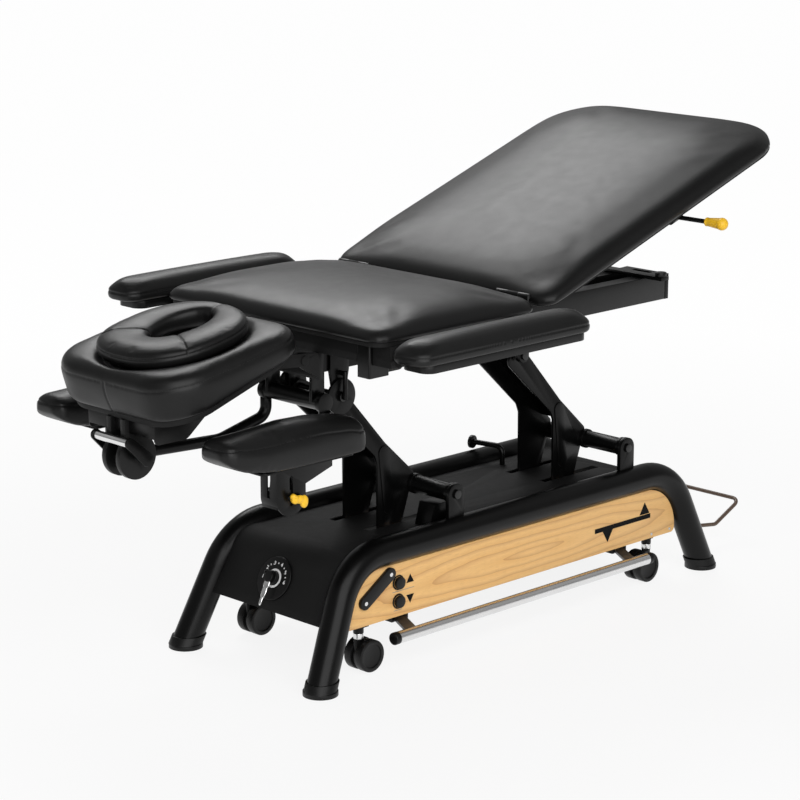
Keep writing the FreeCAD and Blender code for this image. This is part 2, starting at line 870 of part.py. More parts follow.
# Wood panels, with holes for the button stems
bend_reach = tube_bend - tube_r - panel_tube_gap
panel = plate([
    (-bend_x - bend_reach, panel_bottom), (-bend_x - bend_reach, tube_bottom - panel_tube_gap),
    (bend_x + bend_reach, tube_bottom - panel_tube_gap), (bend_x + bend_reach, panel_bottom)],
    [panel_low_corner, bend_reach - tiny, bend_reach - tiny, panel_low_corner],
    -panel_out_y, -panel_in_y)
panel = panel.cut(sweep(near_path, tube_r + panel_tube_gap / 2))
panel = max(panel.Solids, key=lambda s: s.Volume)
for button_z in (button_high_z, button_low_z):
    panel = panel.cut(rod_y(button_stem_r + air, button_x, button_z,
                            -panel_out_y - overrun, -panel_out_y + button_stem_l + button_travel
                            + air))
save("wood_panels", both(panel))

capsule = link((link_a_x, link_a_z), (link_b_x, link_b_z), link_r, link_r,
               -panel_out_y - link_t, -panel_out_y)
screws = [rod_y(link_screw_r, x, z, -panel_out_y - link_t - link_screw_h,
                -panel_out_y - link_t)
          for x, z in ((link_a_x, link_a_z), (link_b_x, link_b_z))]
save("panel_fittings", both(capsule))
save("base_fixings", [one for screw in screws for one in both(screw)])

bezels = []
button_cap_y = panel_out_y + button_travel + air
for place, button_z in (("up", button_high_z), ("down", button_low_z)):
    ring = rod_y(bezel_r, button_x, button_z, -panel_out_y - bezel_h, -panel_out_y)
    ring = ring.cut(rod_y(button_r + air, button_x, button_z,
                          -panel_out_y - bezel_h - overrun, -panel_out_y + overrun))
    bezels.append(ring)
    button = fuse(
        rod_y(button_r, button_x, button_z, -panel_out_y - button_h, -button_cap_y),
        rod_y(button_stem_r, button_x, button_z, -button_cap_y,
              -panel_out_y + button_stem_l))
    save("button_" + place, button)
save("panel_fittings", bezels)

# Foot bars: tube, end caps, struts and pivot pins
bar = rod_x(bar_r, -bar_y, bar_z, -bar_half_l + bar_cap_l, bar_half_l - bar_cap_l)
bar = bar.cut(rod_x(bar_r - bar_wall, -bar_y, bar_z, -bar_half_l, bar_half_l))
bar_ends = []
for sign in (-1, 1):
    ends = sorted((sign * bar_half_l, sign * (bar_half_l - bar_cap_l)))
    bar_ends.append(rod_x(bar_r, -bar_y, bar_z, ends[0], ends[1]))
strut_run = math.hypot(bar_y - strut_pivot_y, strut_pivot_z - bar_z)
strut_turn = math.degrees(math.atan2(strut_pivot_z - bar_z, bar_y - strut_pivot_y))
brackets = []
struts = []
for x in (-strut_x, strut_x):
    flat = box(x - strut_w / 2, x + strut_w / 2, -strut_pivot_y - strut_run, -strut_pivot_y,
               strut_pivot_z - strut_t / 2, strut_pivot_z + strut_t / 2)
    flat.rotate(V(0, -strut_pivot_y, strut_pivot_z), X_DIR, strut_turn)
    flat = flat.cut(rod_x(bar_r, -bar_y, bar_z, -bar_half_l, bar_half_l))
    flat = [s for s in flat.Solids if s.BoundBox.YMax > -strut_pivot_y - strut_eye_r][0]
    eye = rod_x(strut_eye_r, -strut_pivot_y, strut_pivot_z, x - strut_w / 2, x + strut_w / 2)
    pin = rod_x(strut_pin_r, -strut_pivot_y, strut_pivot_z,
                x - strut_w / 2 - air - strut_bracket_t, x + strut_w / 2 + air + strut_bracket_t)
    struts.append(fuse(flat, eye, pin))
    for side in (-1, 1):
        near_x = x + side * (strut_w / 2 + air)
        far_x = near_x + side * strut_bracket_t
        cheek = box(min(near_x, far_x), max(near_x, far_x), -panel_in_y,
                    -strut_pivot_y + strut_eye_r, strut_pivot_z - strut_eye_r, strut_bracket_top)
        brackets.append(cheek.cut(rod_x(strut_pin_r + shaft_fit, -strut_pivot_y,
                                        strut_pivot_z, -bar_half_l, bar_half_l)))
bar_pieces = [bar] + struts + bar_ends
save("foot_bar_near", bar_pieces)
save("foot_bar_far", [far_side(one) for one in bar_pieces])
save("base_beams", brackets + [far_side(one) for one in brackets])

# Pedal loop
pedal_y = pedal_half_w
loop = path([
    V(pedal_pivot_x, -pedal_y, pedal_pivot_z), V(pedal_low_x, -pedal_y, pedal_low_z),
    V(pedal_rise_x, -pedal_y, pedal_rise_z), V(pedal_end_x, -pedal_y, pedal_end_z),
    V(pedal_end_x, pedal_y, pedal_end_z), V(pedal_rise_x, pedal_y, pedal_rise_z),
    V(pedal_low_x, pedal_y, pedal_low_z), V(pedal_pivot_x, pedal_y, pedal_pivot_z)],
    pedal_bend)
pedal_shaft = rod_y(pedal_pin_r, pedal_pivot_x, pedal_pivot_z, -pedal_y, pedal_y)
boss = rod_y(pedal_boss_r, pedal_pivot_x, pedal_pivot_z,
             -pedal_y - pedal_boss_l / 2, -pedal_y + pedal_boss_l / 2)
save("pedal_loop", fuse(sweep(loop, pedal_r), pedal_shaft, boss, far_side(boss)))

# Castors: hood and stem, and the twin wheels on their axle
wheel_z = castor_floor_gap + castor_wheel_r
for name, sign_x, sign_y in (
        ("front_near", -1, -1), ("front_far", -1, 1), ("rear_near", 1, -1), ("rear_far", 1, 1)):
    stem_x = -front_castor_x if sign_x < 0 else rear_castor_x
    wheel_x = stem_x - sign_x * castor_offset
    y = sign_y * castor_y
    hood = rod_y(castor_hood_r, wheel_x, wheel_z, y - castor_hood_w / 2, y + castor_hood_w / 2)
    neck = rod_z(castor_neck_r, stem_x, y, wheel_z, castor_socket_z - air)
    neck = neck.common(box(stem_x - castor_neck_r, stem_x + castor_neck_r,
                           y - castor_hood_w / 2, y + castor_hood_w / 2,
                           wheel_z, castor_socket_z))
    disc_low = wheel_z + castor_wheel_r + air * 2
    turntable = rod_z(castor_neck_r, stem_x, y, disc_low, castor_socket_z - air)
    stem = rod_z(castor_stem_r, stem_x, y, disc_low, castor_plate_z + castor_plate_t - air)
    bracket = fuse(hood, neck, turntable, stem)
    bracket = bracket.cut(rod_y(castor_axle_r + shaft_fit, wheel_x, wheel_z,
                                y - castor_hood_w, y + castor_hood_w))
    save("castor_" + name, bracket)
    wheels = []
    for side in (-1, 1):
        inner_y = y + side * (castor_hood_w / 2 + air)
        outer_y = inner_y + side * castor_wheel_w
        wheel = rod_y(castor_wheel_r, wheel_x, wheel_z, min(inner_y, outer_y),
                      max(inner_y, outer_y))
        dish_y = outer_y - side * castor_dish
        dish = rod_y(castor_dish_r, wheel_x, wheel_z, min(dish_y, outer_y + side * overrun),
                     max(dish_y, outer_y + side * overrun))
        wheels.append(wheel.cut(dish))
    axle = rod_y(castor_axle_r, wheel_x, wheel_z, y - castor_hood_w / 2 - castor_wheel_w / 2,
                 y + castor_hood_w / 2 + castor_wheel_w / 2)
    save("wheels_" + name, fuse(axle, *wheels))

# Dial and lever on the slanted front
slant = math.degrees(math.atan2(cover_front_x - cover_front_corner_x,
                                cover_top - cover_front_z))
dial_x = -cover_front_corner_x - (cover_top - dial_z) * math.tan(math.radians(slant))


def on_slant(shape):
    return turned(shape, dial_x, dial_z, slant)


dial_face = dial_x - dial_t
dial = fuse(rod_x(dial_r, 0, dial_z, dial_face, dial_x),
            rod_x(dial_hub_r, 0, dial_z, dial_face - dial_hub_h, dial_face))
dial = dial.cut(rod_x(lever_pin_r + shaft_fit, 0, dial_z,
                      dial_face - dial_hub_h - overrun, dial_x))
save("dial_plate", on_slant(dial))
hub_back = dial_face - dial_hub_h - air
lever = fuse(
    rod_x(lever_hub_r, 0, dial_z, hub_back - lever_hub_h, hub_back),
    rod_x(lever_pin_r, 0, dial_z, hub_back, dial_x - air))
blade = Part.makeLoft([
    rounded(-lever_root_w / 2, lever_root_w / 2, -lever_t / 2, lever_t / 2,
            [lever_t * corner_share] * 4, 0),
    rounded(-lever_tip_w / 2, lever_tip_w / 2, -lever_t / 2, lever_t / 2,
            [lever_t * corner_share] * 4, lever_l)], True, True)
blade.rotate(V(0, 0, 0), Z_DIR, quarter)
blade.rotate(V(0, 0, 0), X_DIR, 2 * quarter)
blade.translate(V(hub_back - lever_hub_h / 2, 0, dial_z))
save("dial_lever", on_slant(fuse(lever, blade)))


# Lift arms: hub tube, two cranked plates, web, crank pin, actuator lug
def arm_at(shares_list, pivot_x):
    """Points given as shares of the pivot spacing of one arm."""
    return [(pivot_x + sx * arm_dx, pivot_z + sz * arm_dz) for sx, sz in shares_list]


plate_in = arm_plate_y - arm_plate_t
hub_low_y = ear_near_y + ear_t + air
hub_high_y = ear_far_y - air
for name, pivot_x in (("front", pivot_front_x), ("rear", pivot_rear_x)):
    upper_x, upper_z = pivot_x + arm_dx, pivot_z + arm_dz
    pin_x, pin_z = pivot_x + crank_x, pivot_z + crank_z
    side = plate(arm_at(arm_outline_shares, pivot_x),
                 [arm_corner * share for share in arm_corner_shares],
                 -arm_plate_y, -plate_in)
    hub = rod_y(hub_r, pivot_x, pivot_z, hub_low_y, hub_high_y)
    collars = [rod_y(hub_collar_r, pivot_x, pivot_z, hub_low_y, hub_low_y + hub_collar_w),
               rod_y(hub_collar_r, pivot_x, pivot_z, -arm_plate_y - hub_collar_w, -arm_plate_y)]
    back = arm_at(arm_back_shares, pivot_x)
    shift = arm_web_t * math.sqrt(0.5)
    web = plate(back + [(x - shift, z - shift) for x, z in reversed(back)], 0,
                -plate_in, plate_in)
    stiffener = link(arm_at(stiffener_top_shares, pivot_x)[0],
                     arm_at(stiffener_low_shares, pivot_x)[0],
                     stiffener_r, stiffener_r, -arm_plate_y - stiffener_t, -arm_plate_y)
    tie_far_y = tie_y + tie_t / 2 + air
    crank_pin = rod_y(crank_pin_r, pin_x, pin_z, tie_y - tie_t / 2 - crank_pin_over, plate_in)
    arm = fuse(side, far_side(side), hub, web, stiffener, far_side(stiffener), crank_pin,
               *collars)
    if name == "front":
        bar_x, bar_place_z = pivot_x + crank_bar_x, pivot_z + crank_bar_z
        rod_end_x, rod_end_z = pivot_x + actuator_end_x, pivot_z + actuator_end_z
        cross_bar = rod_y(crank_bar_r, bar_x, bar_place_z, -plate_in, plate_in)
        lug = link((bar_x, bar_place_z), (rod_end_x, rod_end_z), actuator_eye_r, actuator_eye_r,
                   actuator_y - actuator_lug_t / 2, actuator_y + actuator_lug_t / 2)
        arm = fuse(arm, cross_bar, lug)
    arm = arm.cut(rod_y(axle_r + shaft_fit, pivot_x, pivot_z, hub_low_y - overrun,
                        hub_high_y + overrun))
    arm = arm.cut(rod_y(upper_shaft_r + shaft_fit, upper_x, upper_z,
                        -arm_plate_y - overrun, arm_plate_y + overrun))
    save(name + "_lift_arm", arm)

# Tie bar between the crank pins
tie = link((pivot_front_x + crank_x, pivot_z + crank_z),
           (pivot_rear_x + crank_x, pivot_z + crank_z), tie_eye_r, tie_eye_r,
           tie_y - tie_t / 2, tie_y + tie_t / 2)
for pivot_x in (pivot_front_x, pivot_rear_x):
    tie = tie.cut(rod_y(crank_pin_r + shaft_fit, pivot_x + crank_x, pivot_z + crank_z,
                        tie_y - tie_t, tie_y + tie_t))
save("tie_bar", tie)


def strut_pair(foot, head, names, eye_r, eye_t, pin_r, pin_reach, body_r, body_l,
               body_bore, rod_r, rod_start, cheek_t, cheek_gap, lug_t, lug_r, y, motor=None):
    """A body and rod along the line from foot to head; the head end is a fork whose
    cheeks stand beside the lug."""
    run = math.hypot(head[0] - foot[0], head[1] - foot[1])
    angle = math.degrees(math.atan2(head[1] - foot[1], head[0] - foot[0]))
    barrel = rod_x(body_r, y, 0, eye_r * 2, eye_r + body_l)
    tongue = box(0, eye_r * 2, y - eye_t / 2, y + eye_t / 2, -eye_r, eye_r)
    eye = rod_y(eye_r, 0, 0, y - eye_t / 2, y + eye_t / 2)
    pin = rod_y(pin_r, 0, 0, y - pin_reach, y + pin_reach)
    body = fuse(barrel, eye, tongue, pin)
    if motor:
        motor_r, motor_l, motor_drop = motor
        body = fuse(body, rod_x(motor_r, y, -motor_drop, eye_r * 2, eye_r * 2 + motor_l))
    body = body.cut(rod_x(body_bore, y, 0, eye_r * 2 + body_r, eye_r + body_l + overrun))
    cheek_in = lug_t / 2 + cheek_gap
    fork_back = run - lug_r - fork_clear
    stem = rod_x(rod_r, y, 0, rod_start, fork_back)
    bridge = box(fork_back - cheek_t, fork_back, y - cheek_in - cheek_t,
                 y + cheek_in + cheek_t, -lug_r * fork_share, lug_r * fork_share)
    parts = [stem, bridge]
    for side in (-1, 1):
        near_y, far_y = y + side * cheek_in, y + side * (cheek_in + cheek_t)
        parts.append(box(fork_back - cheek_t, run + lug_r * fork_share, min(near_y, far_y),
                         max(near_y, far_y), -lug_r * fork_share, lug_r * fork_share))
    piston = fuse(*parts)
    for name, shape in zip(names, (body, piston)):
        shape.rotate(V(0, 0, 0), Y_DIR, -angle)
        shape.translate(V(foot[0], 0, foot[1]))
        save(name, shape)


strut_pair(
    (actuator_pivot_x, actuator_pivot_z),
    (pivot_front_x + actuator_end_x, pivot_z + actuator_end_z),
    ("actuator_body", "actuator_rod"), actuator_eye_r, actuator_eye_t, actuator_pin_r,
    actuator_eye_t / 2 + air + actuator_lug_t, actuator_r, actuator_l,
    actuator_rod_r + air, actuator_rod_r, actuator_rod_start, fork_t, fork_gap, actuator_lug_t,
    actuator_eye_r, actuator_y, (actuator_motor_r, actuator_motor_l, actuator_motor_drop))

# Top frame: rails, end bars, hangers, discs, cross tube
rail_low = rail_top - rail_h
rail = box(rail_head_x, rail_foot_x, -rail_outer_y, -rail_outer_y + rail_w, rail_low, rail_top)
rail = rail.cut(box(
    rail_head_x - overrun, rail_foot_x + overrun, -rail_outer_y + rail_wall,
    -rail_outer_y + rail_w - rail_wall, rail_low + rail_wall, rail_top - rail_wall))
save("top_rails", both(rail))

head_bar = box(rail_head_x - end_bar_t, rail_head_x, -head_bar_reach, head_bar_reach,
               rail_low, rail_top)
tail_bar = box(rail_foot_x, rail_foot_x + end_bar_t, -rail_outer_y, rail_outer_y,
               rail_low, rail_top)
head_lugs = []
lug_in = head_hinge_y - head_lug_t / 2
lug_out = head_hinge_y + head_lug_t / 2
fixed_lug = link((rail_head_x - end_bar_t / 2, rail_low + rail_h / 2),
                 (head_hinge_x, head_hinge_z), rail_h * fixed_lug_share, head_lug_r,
                 -lug_out, -lug_in)
fixed_lug = fixed_lug.cut(box(rail_head_x - end_bar_t, rail_foot_x, -lug_out - overrun,
                              -lug_in + overrun, rail_low - overrun, rail_top + overrun))
pin_hole = rod_y(head_pin_r + shaft_fit, head_hinge_x, head_hinge_z, -half_room, half_room)
fixed_lug = fixed_lug.cut(pin_hole)
save("top_bars", [fuse(head_bar, fixed_lug, far_side(fixed_lug)), tail_bar])

hook = path([
    V(rail_foot_x + end_bar_t, -hook_y, hook_z), V(hook_end_x, -hook_y, hook_z),
    V(hook_end_x, hook_y, hook_z), V(rail_foot_x + end_bar_t, hook_y, hook_z)], hook_bend)
save("top_bars", sweep(hook, hook_r))

crossbars = []
gas_rung_x = gas_foot_x - gas_eye_r - rung_w
for x in (gas_rung_x, pivot_rear_x + arm_dx, pivot_front_x + arm_dx):
    crossbars.append(box(x - rung_w / 2, x + rung_w / 2, -rail_outer_y + rail_w,
                         rail_outer_y - rail_w, rail_top - rung_h, rail_top))
gas_lug = link((gas_foot_x, gas_foot_z), (gas_rung_x, rail_top - rung_h), gas_eye_r,
               gas_eye_r, gas_eye_t / 2 + air, gas_eye_t / 2 + air + gas_lug_t)
gas_hole = rod_y(gas_pin_r + shaft_fit, gas_foot_x, gas_foot_z, -half_room, half_room)
gas_lug = gas_lug.cut(gas_hole)
crossbars[0] = fuse(crossbars[0], gas_lug, far_side(gas_lug))
save("top_bars", crossbars)

hangers = []
for pivot_x in (pivot_rear_x + arm_dx, pivot_front_x + arm_dx):
    upper_z = pivot_z + arm_dz
    hanger = plate([
        (pivot_x - hanger_w / 2, rail_top - rail_wall), (pivot_x + hanger_w / 2, rail_top - rail_wall),
        (pivot_x + hanger_w / 2, rail_low), (pivot_x + hanger_r, upper_z),
        (pivot_x - hanger_r, upper_z), (pivot_x - hanger_w / 2, rail_low)], 0,
        -rail_outer_y - hanger_t, -rail_outer_y)
    hanger = fuse(hanger, rod_y(hanger_r, pivot_x, upper_z, -rail_outer_y - hanger_t,
                                -rail_outer_y))
    hanger = hanger.cut(rod_y(upper_shaft_r + shaft_fit, pivot_x, upper_z, -half_room, 0))
    hangers += both(hanger)
save("hangers", hangers)
shaft_end = rail_outer_y + hanger_t + disc_t
for pivot_x in (pivot_rear_x + arm_dx, pivot_front_x + arm_dx):
    upper_z = pivot_z + arm_dz
    shaft = rod_y(upper_shaft_r, pivot_x, upper_z, -shaft_end - axle_head_h,
                  shaft_end + axle_head_h)
    heads = [rod_y(axle_head_r, pivot_x, upper_z, -shaft_end - axle_head_h, -shaft_end),
             rod_y(axle_head_r, pivot_x, upper_z, shaft_end, shaft_end + axle_head_h)]
    save("top_pins", fuse(shaft, *heads))
discs = []
for pivot_x, radius in ((pivot_rear_x + arm_dx, hanger_r), (pivot_front_x + arm_dx, disc_r)):
    upper_z = pivot_z + arm_dz
    disc = rod_y(radius, pivot_x, upper_z, -shaft_end, -rail_outer_y - hanger_t)
    disc = disc.cut(rod_y(upper_shaft_r + shaft_fit, pivot_x, upper_z, -half_room, 0))
    discs += both(disc)
save("hangers", discs)

stay_x = pivot_front_x + arm_dx
stay_y = shaft_end + axle_head_h + stay_r
save("top_bars", both(fuse(
    rod_z(stay_r, stay_x, -stay_y, pivot_z + arm_dz - stay_r, rail_low),
    rod_y(stay_r, stay_x, rail_low - stay_r, -stay_y, -rail_outer_y - hanger_t))))

drop_y = rail_outer_y + hanger_t
tube_drop = plate([
    (cross_tube_x - cross_tube_r, rail_top - rail_wall), (cross_tube_x + cross_tube_r, rail_top - rail_wall),
    (cross_tube_x + cross_tube_r, cross_tube_z), (cross_tube_x - cross_tube_r, cross_tube_z)],
    0, -drop_y, -rail_outer_y)
tube_drop = tube_drop.cut(rod_y(cross_tube_r, cross_tube_x, cross_tube_z, -half_room, 0))
cross_tube = rod_y(cross_tube_r, cross_tube_x, cross_tube_z, -cross_tube_half_l,
                   cross_tube_half_l)
cross_collar = rod_y(cross_collar_r, cross_tube_x, cross_tube_z, -cross_tube_half_l,
                     -cross_tube_half_l + cross_collar_w)
save("top_bars", [fuse(cross_tube, cross_collar, far_side(cross_collar))] + both(tube_drop))

# Bearers across the rails carry the middle board and the side armrest hinges
bearers = []
hinge_xs = []
board_low = pad_bottom - board_t
for x in (bearer_head_x, bearer_mid_x, bearer_foot_x):
    bearer = box(x - bearer_w / 2, x + bearer_w / 2, -bearer_half_l, bearer_half_l,
                 rail_top, board_low)
    if x != bearer_mid_x:
        hinge_xs.append(x)
        leaf = box(x - bearer_w / 2, x + bearer_w / 2, -arm_hinge_y, -bearer_half_l,
                   arm_hinge_z - arm_leaf_t / 2, arm_hinge_z + arm_leaf_t / 2)
        eye = rod_x(arm_hinge_eye_r, -arm_hinge_y, arm_hinge_z, x - bearer_w / 2,
                    x + bearer_w / 2)
        pin = rod_x(arm_hinge_pin_r, -arm_hinge_y, arm_hinge_z, x + bearer_w / 2,
                    x + bearer_w / 2 + air + arm_hinge_l)
        knuckle = fuse(leaf, eye, pin)
        bearer = fuse(bearer, knuckle, far_side(knuckle))
    bearers.append(bearer)
save("middle_board", bearers)

# Middle board and cushion
mid_foot_x = fold_x - fold_gap
mid_board = slab(mid_head_x + board_inset, mid_foot_x - board_inset,
                 -pad_half_w + board_inset, pad_half_w - board_inset,
                 [pad_corner] * 4, board_low, pad_bottom)
save("middle_board", mid_board)
save("middle_cushion", cushion(mid_head_x, mid_foot_x, -pad_half_w, pad_half_w,
                               [pad_corner] * 4, pad_bottom, pad_thick, pad_crown))

# Side armrest locks hang from the middle board
locks = []
lock_block = slab(lock_x - lock_l / 2, lock_x + lock_l / 2, -lock_y - lock_w / 2,
                  -lock_y + lock_w / 2, [lock_corner] * 4, lock_low, board_low)
knob_start = V(lock_x + lock_l / 2, -lock_y, lock_low + lock_knob_rise)
lock_bore = rod_x(lock_stem_r + air, -lock_y, knob_start.z, lock_x, lock_x + lock_l)
lock_block = lock_block.cut(lock_bore).cut(bearers[0])
save("top_stops", both(lock_block))
knob = fuse(
    rod_x(lock_stem_r, -lock_y, knob_start.z, lock_x + latch_travel,
          knob_start.x + latch_travel),
    rod_x(latch_head_r, -lock_y, knob_start.z, knob_start.x + air,
          knob_start.x + latch_head_l))
save("armrest_lock_knob_near", knob)
save("armrest_lock_knob_far", far_side(knob))

# Side armrests: hinge leaf, board, cushion
pad_out_y = arm_pad_in_y + arm_pad_w
leaves = []
for x in hinge_xs:
    low_x = x + bearer_w / 2 + air
    eye = rod_x(arm_hinge_eye_r, -arm_hinge_y, arm_hinge_z, low_x, low_x + arm_hinge_l)
    leaf = box(low_x, low_x + arm_hinge_l, -arm_hinge_y - arm_leaf_l, -arm_hinge_y,
               arm_pad_bottom - arm_board_t - arm_leaf_t, arm_pad_bottom - arm_board_t)
    joined = fuse(eye, leaf)
    leaves.append(joined.cut(rod_x(arm_hinge_pin_r + shaft_fit, -arm_hinge_y, arm_hinge_z,
                                   low_x - overrun, low_x + arm_hinge_l + overrun)))
arm_board = slab(arm_pad_head_x + arm_board_inset, arm_pad_foot_x - arm_board_inset,
                 -pad_out_y + arm_board_inset, -arm_pad_in_y - arm_board_in,
                 [arm_board_corner] * 4, arm_pad_bottom - arm_board_t, arm_pad_bottom)
arm_cushion = cushion(arm_pad_head_x, arm_pad_foot_x, -pad_out_y, -arm_pad_in_y,
                      [arm_pad_corner] * 4, arm_pad_bottom, arm_pad_thick, arm_pad_crown)
board_pieces = [arm_board] + leaves
save("armrest_board_near", board_pieces)
save("armrest_board_far", [far_side(one) for one in board_pieces])
save("armrest_cushion_near", arm_cushion)
save("armrest_cushion_far", far_side(arm_cushion))

# Lower armrests: carrier and guide block on the top frame
block_in_y = low_channel_y - low_channel_w / 2
block_wide = low_channel_w - low_channel_t - air
block_long = low_channel_l - (low_channel_t + air) * 2
guide = box(low_post_x - block_long / 2, low_post_x + block_long / 2,
            -block_in_y - block_wide, -block_in_y, guide_low, guide_low + guide_h)
guide_mid = guide_low + guide_h / 2
carrier = sweep(path([
    V(cross_tube_x, -carrier_y, cross_tube_z), V(cross_tube_x, -carrier_y, carrier_z),
    V(carrier_elbow_x, -carrier_y, carrier_elbow_z),
    V(low_post_x, -block_in_y, guide_mid)], carrier_bend), low_bar_r)
carrier = carrier.cut(rod_y(cross_collar_r, cross_tube_x, cross_tube_z, -half_room, half_room))
carrier = max(carrier.Solids, key=lambda s: s.Volume)
guide = fuse(guide, carrier)
knob_x, knob_z = low_post_x, guide_mid
channel_out = block_in_y + low_channel_w
guide = guide.cut(rod_y(knob_stem_r + shaft_fit, knob_x, knob_z, -channel_out,
                        -channel_out + knob_stem_l))
save("lower_armrest_carriers", both(guide))
wing = link((knob_x, knob_z), (knob_x + knob_l, knob_z + knob_rise), knob_r,
            knob_tip_r, -channel_out - knob_off - knob_t, -channel_out - knob_off)
wing = fuse(wing, rod_y(knob_stem_r, knob_x, knob_z, -channel_out - knob_off,
                        -channel_out + knob_stem_l - air))
save("yellow_knob_near", wing)
save("yellow_knob_far", far_side(wing))

# Lower armrests: slotted channel, tray, curved cushion
chan_low_x, chan_high_x = low_post_x - low_channel_l / 2, low_post_x + low_channel_l / 2
channel = box(chan_low_x, chan_high_x, -channel_out, -block_in_y, channel_low, channel_top)
channel = channel.cut(box(
    chan_low_x + low_channel_t, chan_high_x - low_channel_t, -channel_out + low_channel_t,
    -block_in_y + overrun, channel_low - overrun, channel_top + overrun))
round_off = plate([
    (chan_low_x, channel_low), (chan_high_x, channel_low),
    (chan_high_x, channel_top), (chan_low_x, channel_top)],
    [low_channel_l / 2 - tiny, low_channel_l / 2 - tiny, 0, 0], -channel_out, -block_in_y)
channel = channel.common(round_off)
slot = link((knob_x, knob_z - low_slide_up), (knob_x, knob_z + low_slide_down),
            knob_stem_r + air + tiny, knob_stem_r + air, -channel_out - overrun,
            -channel_out + low_channel_t + overrun)
face_slot = box(chan_low_x - overrun, chan_low_x + low_channel_t + overrun,
                -low_channel_y - face_slot_w / 2, -low_channel_y + face_slot_w / 2,
                channel_low + low_channel_l / 2, channel_top - face_slot_w)
channel = channel.cut(slot).cut(face_slot)
gusset_plate = plate([
    (chan_high_x, channel_top), (chan_high_x, channel_top - wing_drop),
    (chan_high_x + wing_l, channel_top - wing_drop / 2), (chan_high_x + wing_l, channel_top)],
    0, -channel_out, -channel_out + low_channel_t)
channel = fuse(channel, gusset_plate)
tray = slab(low_pad_head_x + tray_head_inset, low_pad_foot_x - tray_foot_inset,
            -low_pad_y - low_pad_half_w + board_inset, -low_pad_y + low_pad_half_w - board_inset,
            [board_inset] * 4, channel_top, channel_top + low_tray_t)
channel = fuse(channel, tray)
save("lower_armrest_bracket_near", channel)
save("lower_armrest_bracket_far", far_side(channel))
low_len = low_pad_foot_x - low_pad_head_x
low_wires = []
for run_share, rise_share, tall_share, wide_share in low_pad_shares:
    half_w = low_pad_half_w * wide_share
    tall = low_pad_tall * tall_share
    corner = tall * low_corner_share
    wire = rounded(-half_w, half_w, 0, tall, [corner * low_bottom_share] * 2 + [corner] * 2, 0)
    wire.rotate(V(0, 0, 0), X_DIR, quarter)
    wire.rotate(V(0, 0, 0), Z_DIR, quarter)
    wire.translate(V(low_pad_head_x + low_len * run_share, -low_pad_y,
                     channel_top + low_tray_t + low_pad_rise * rise_share))
    low_wires.append(wire)
low_cushion = Part.makeLoft(low_wires, True, True)
save("lower_armrest_cushion_near", low_cushion)
save("lower_armrest_cushion_far", far_side(low_cushion))


# Long section, made level and then raised about the fold line
def raised(shape):
    return turned(shape, fold_x, fold_z, -fold_deg)


long_x = fold_x + fold_gap
long_end = fold_x + long_l
foot_corners = [pad_corner, long_corner, long_corner, pad_corner]
board_corners = [pad_corner, long_corner - board_inset, long_corner - board_inset, pad_corner]
long_board = slab(long_x + board_inset, long_end - board_inset, -pad_half_w + board_inset,
                  pad_half_w - board_inset, board_corners, board_low, pad_bottom)
save("long_frame", raised(long_board))
save("long_cushion", raised(cushion(long_x, long_end, -pad_half_w, pad_half_w, foot_corners,
                                    pad_bottom, pad_thick, pad_crown)))
frame_low = board_low - long_rail_h
frame_start = fold_x + long_rail_start
frame_end = frame_start + long_rail_l
side_rail = box(frame_start, frame_end, -long_rail_y - long_rail_w / 2,
                -long_rail_y + long_rail_w / 2, frame_low, board_low)
frame_parts = both(side_rail)
for x in (gas_head_x + long_cross_w, frame_end - long_cross_w):
    frame_parts.append(box(x, x + long_cross_w, -long_rail_y + long_rail_w / 2,
                           long_rail_y - long_rail_w / 2, frame_low, board_low))

# Fold hinge knuckles; the outer ones belong to the middle section
hinge_fixed, hinge_moving = [], []
mid_board_end = mid_foot_x - board_inset
long_board_start = long_x + board_inset
for sign in (-1, 1):
    centre = sign * knuckle_y
    for place in (-1, 0, 1):
        low_y = centre + (place - half) * knuckle_l + knuckle_gap / 2
        high_y = low_y + knuckle_l - knuckle_gap
        eye = rod_y(knuckle_r, fold_x, fold_z, low_y, high_y)
        if place:
            leaf = box(fold_x - knuckle_r, fold_x - knuckle_r + knuckle_plate_t, low_y, high_y,
                       board_low, fold_z)
            foot = box(mid_board_end, fold_x - knuckle_r + knuckle_plate_t, low_y, high_y,
                       board_low, board_low + knuckle_plate_t)
            piece = fuse(eye, leaf, foot)
            hinge_fixed.append(piece)
        else:
            leaf = box(fold_x + knuckle_r - knuckle_plate_t, fold_x + knuckle_r, low_y, high_y,
                       board_low, fold_z)
            foot = box(fold_x + knuckle_r - knuckle_plate_t, long_board_start, low_y, high_y,
                       board_low, board_low + knuckle_plate_t)
            piece = fuse(eye, leaf, foot)
            piece = piece.cut(rod_y(knuckle_pin_r + shaft_fit, fold_x, fold_z,
                                    low_y - overrun, high_y + overrun))
            hinge_moving.append(raised(piece))
joined = []
for sign in (-1, 1):
    centre = sign * knuckle_y
    pin = rod_y(knuckle_pin_r, fold_x, fold_z, centre - knuckle_l * 3 * half,
                centre + knuckle_l * 3 * half)
    pair = hinge_fixed[:2] if sign < 0 else hinge_fixed[2:]
    joined.append(fuse(pair[0], pair[1], pin))
save("top_pins", joined)
save("long_frame", hinge_moving)

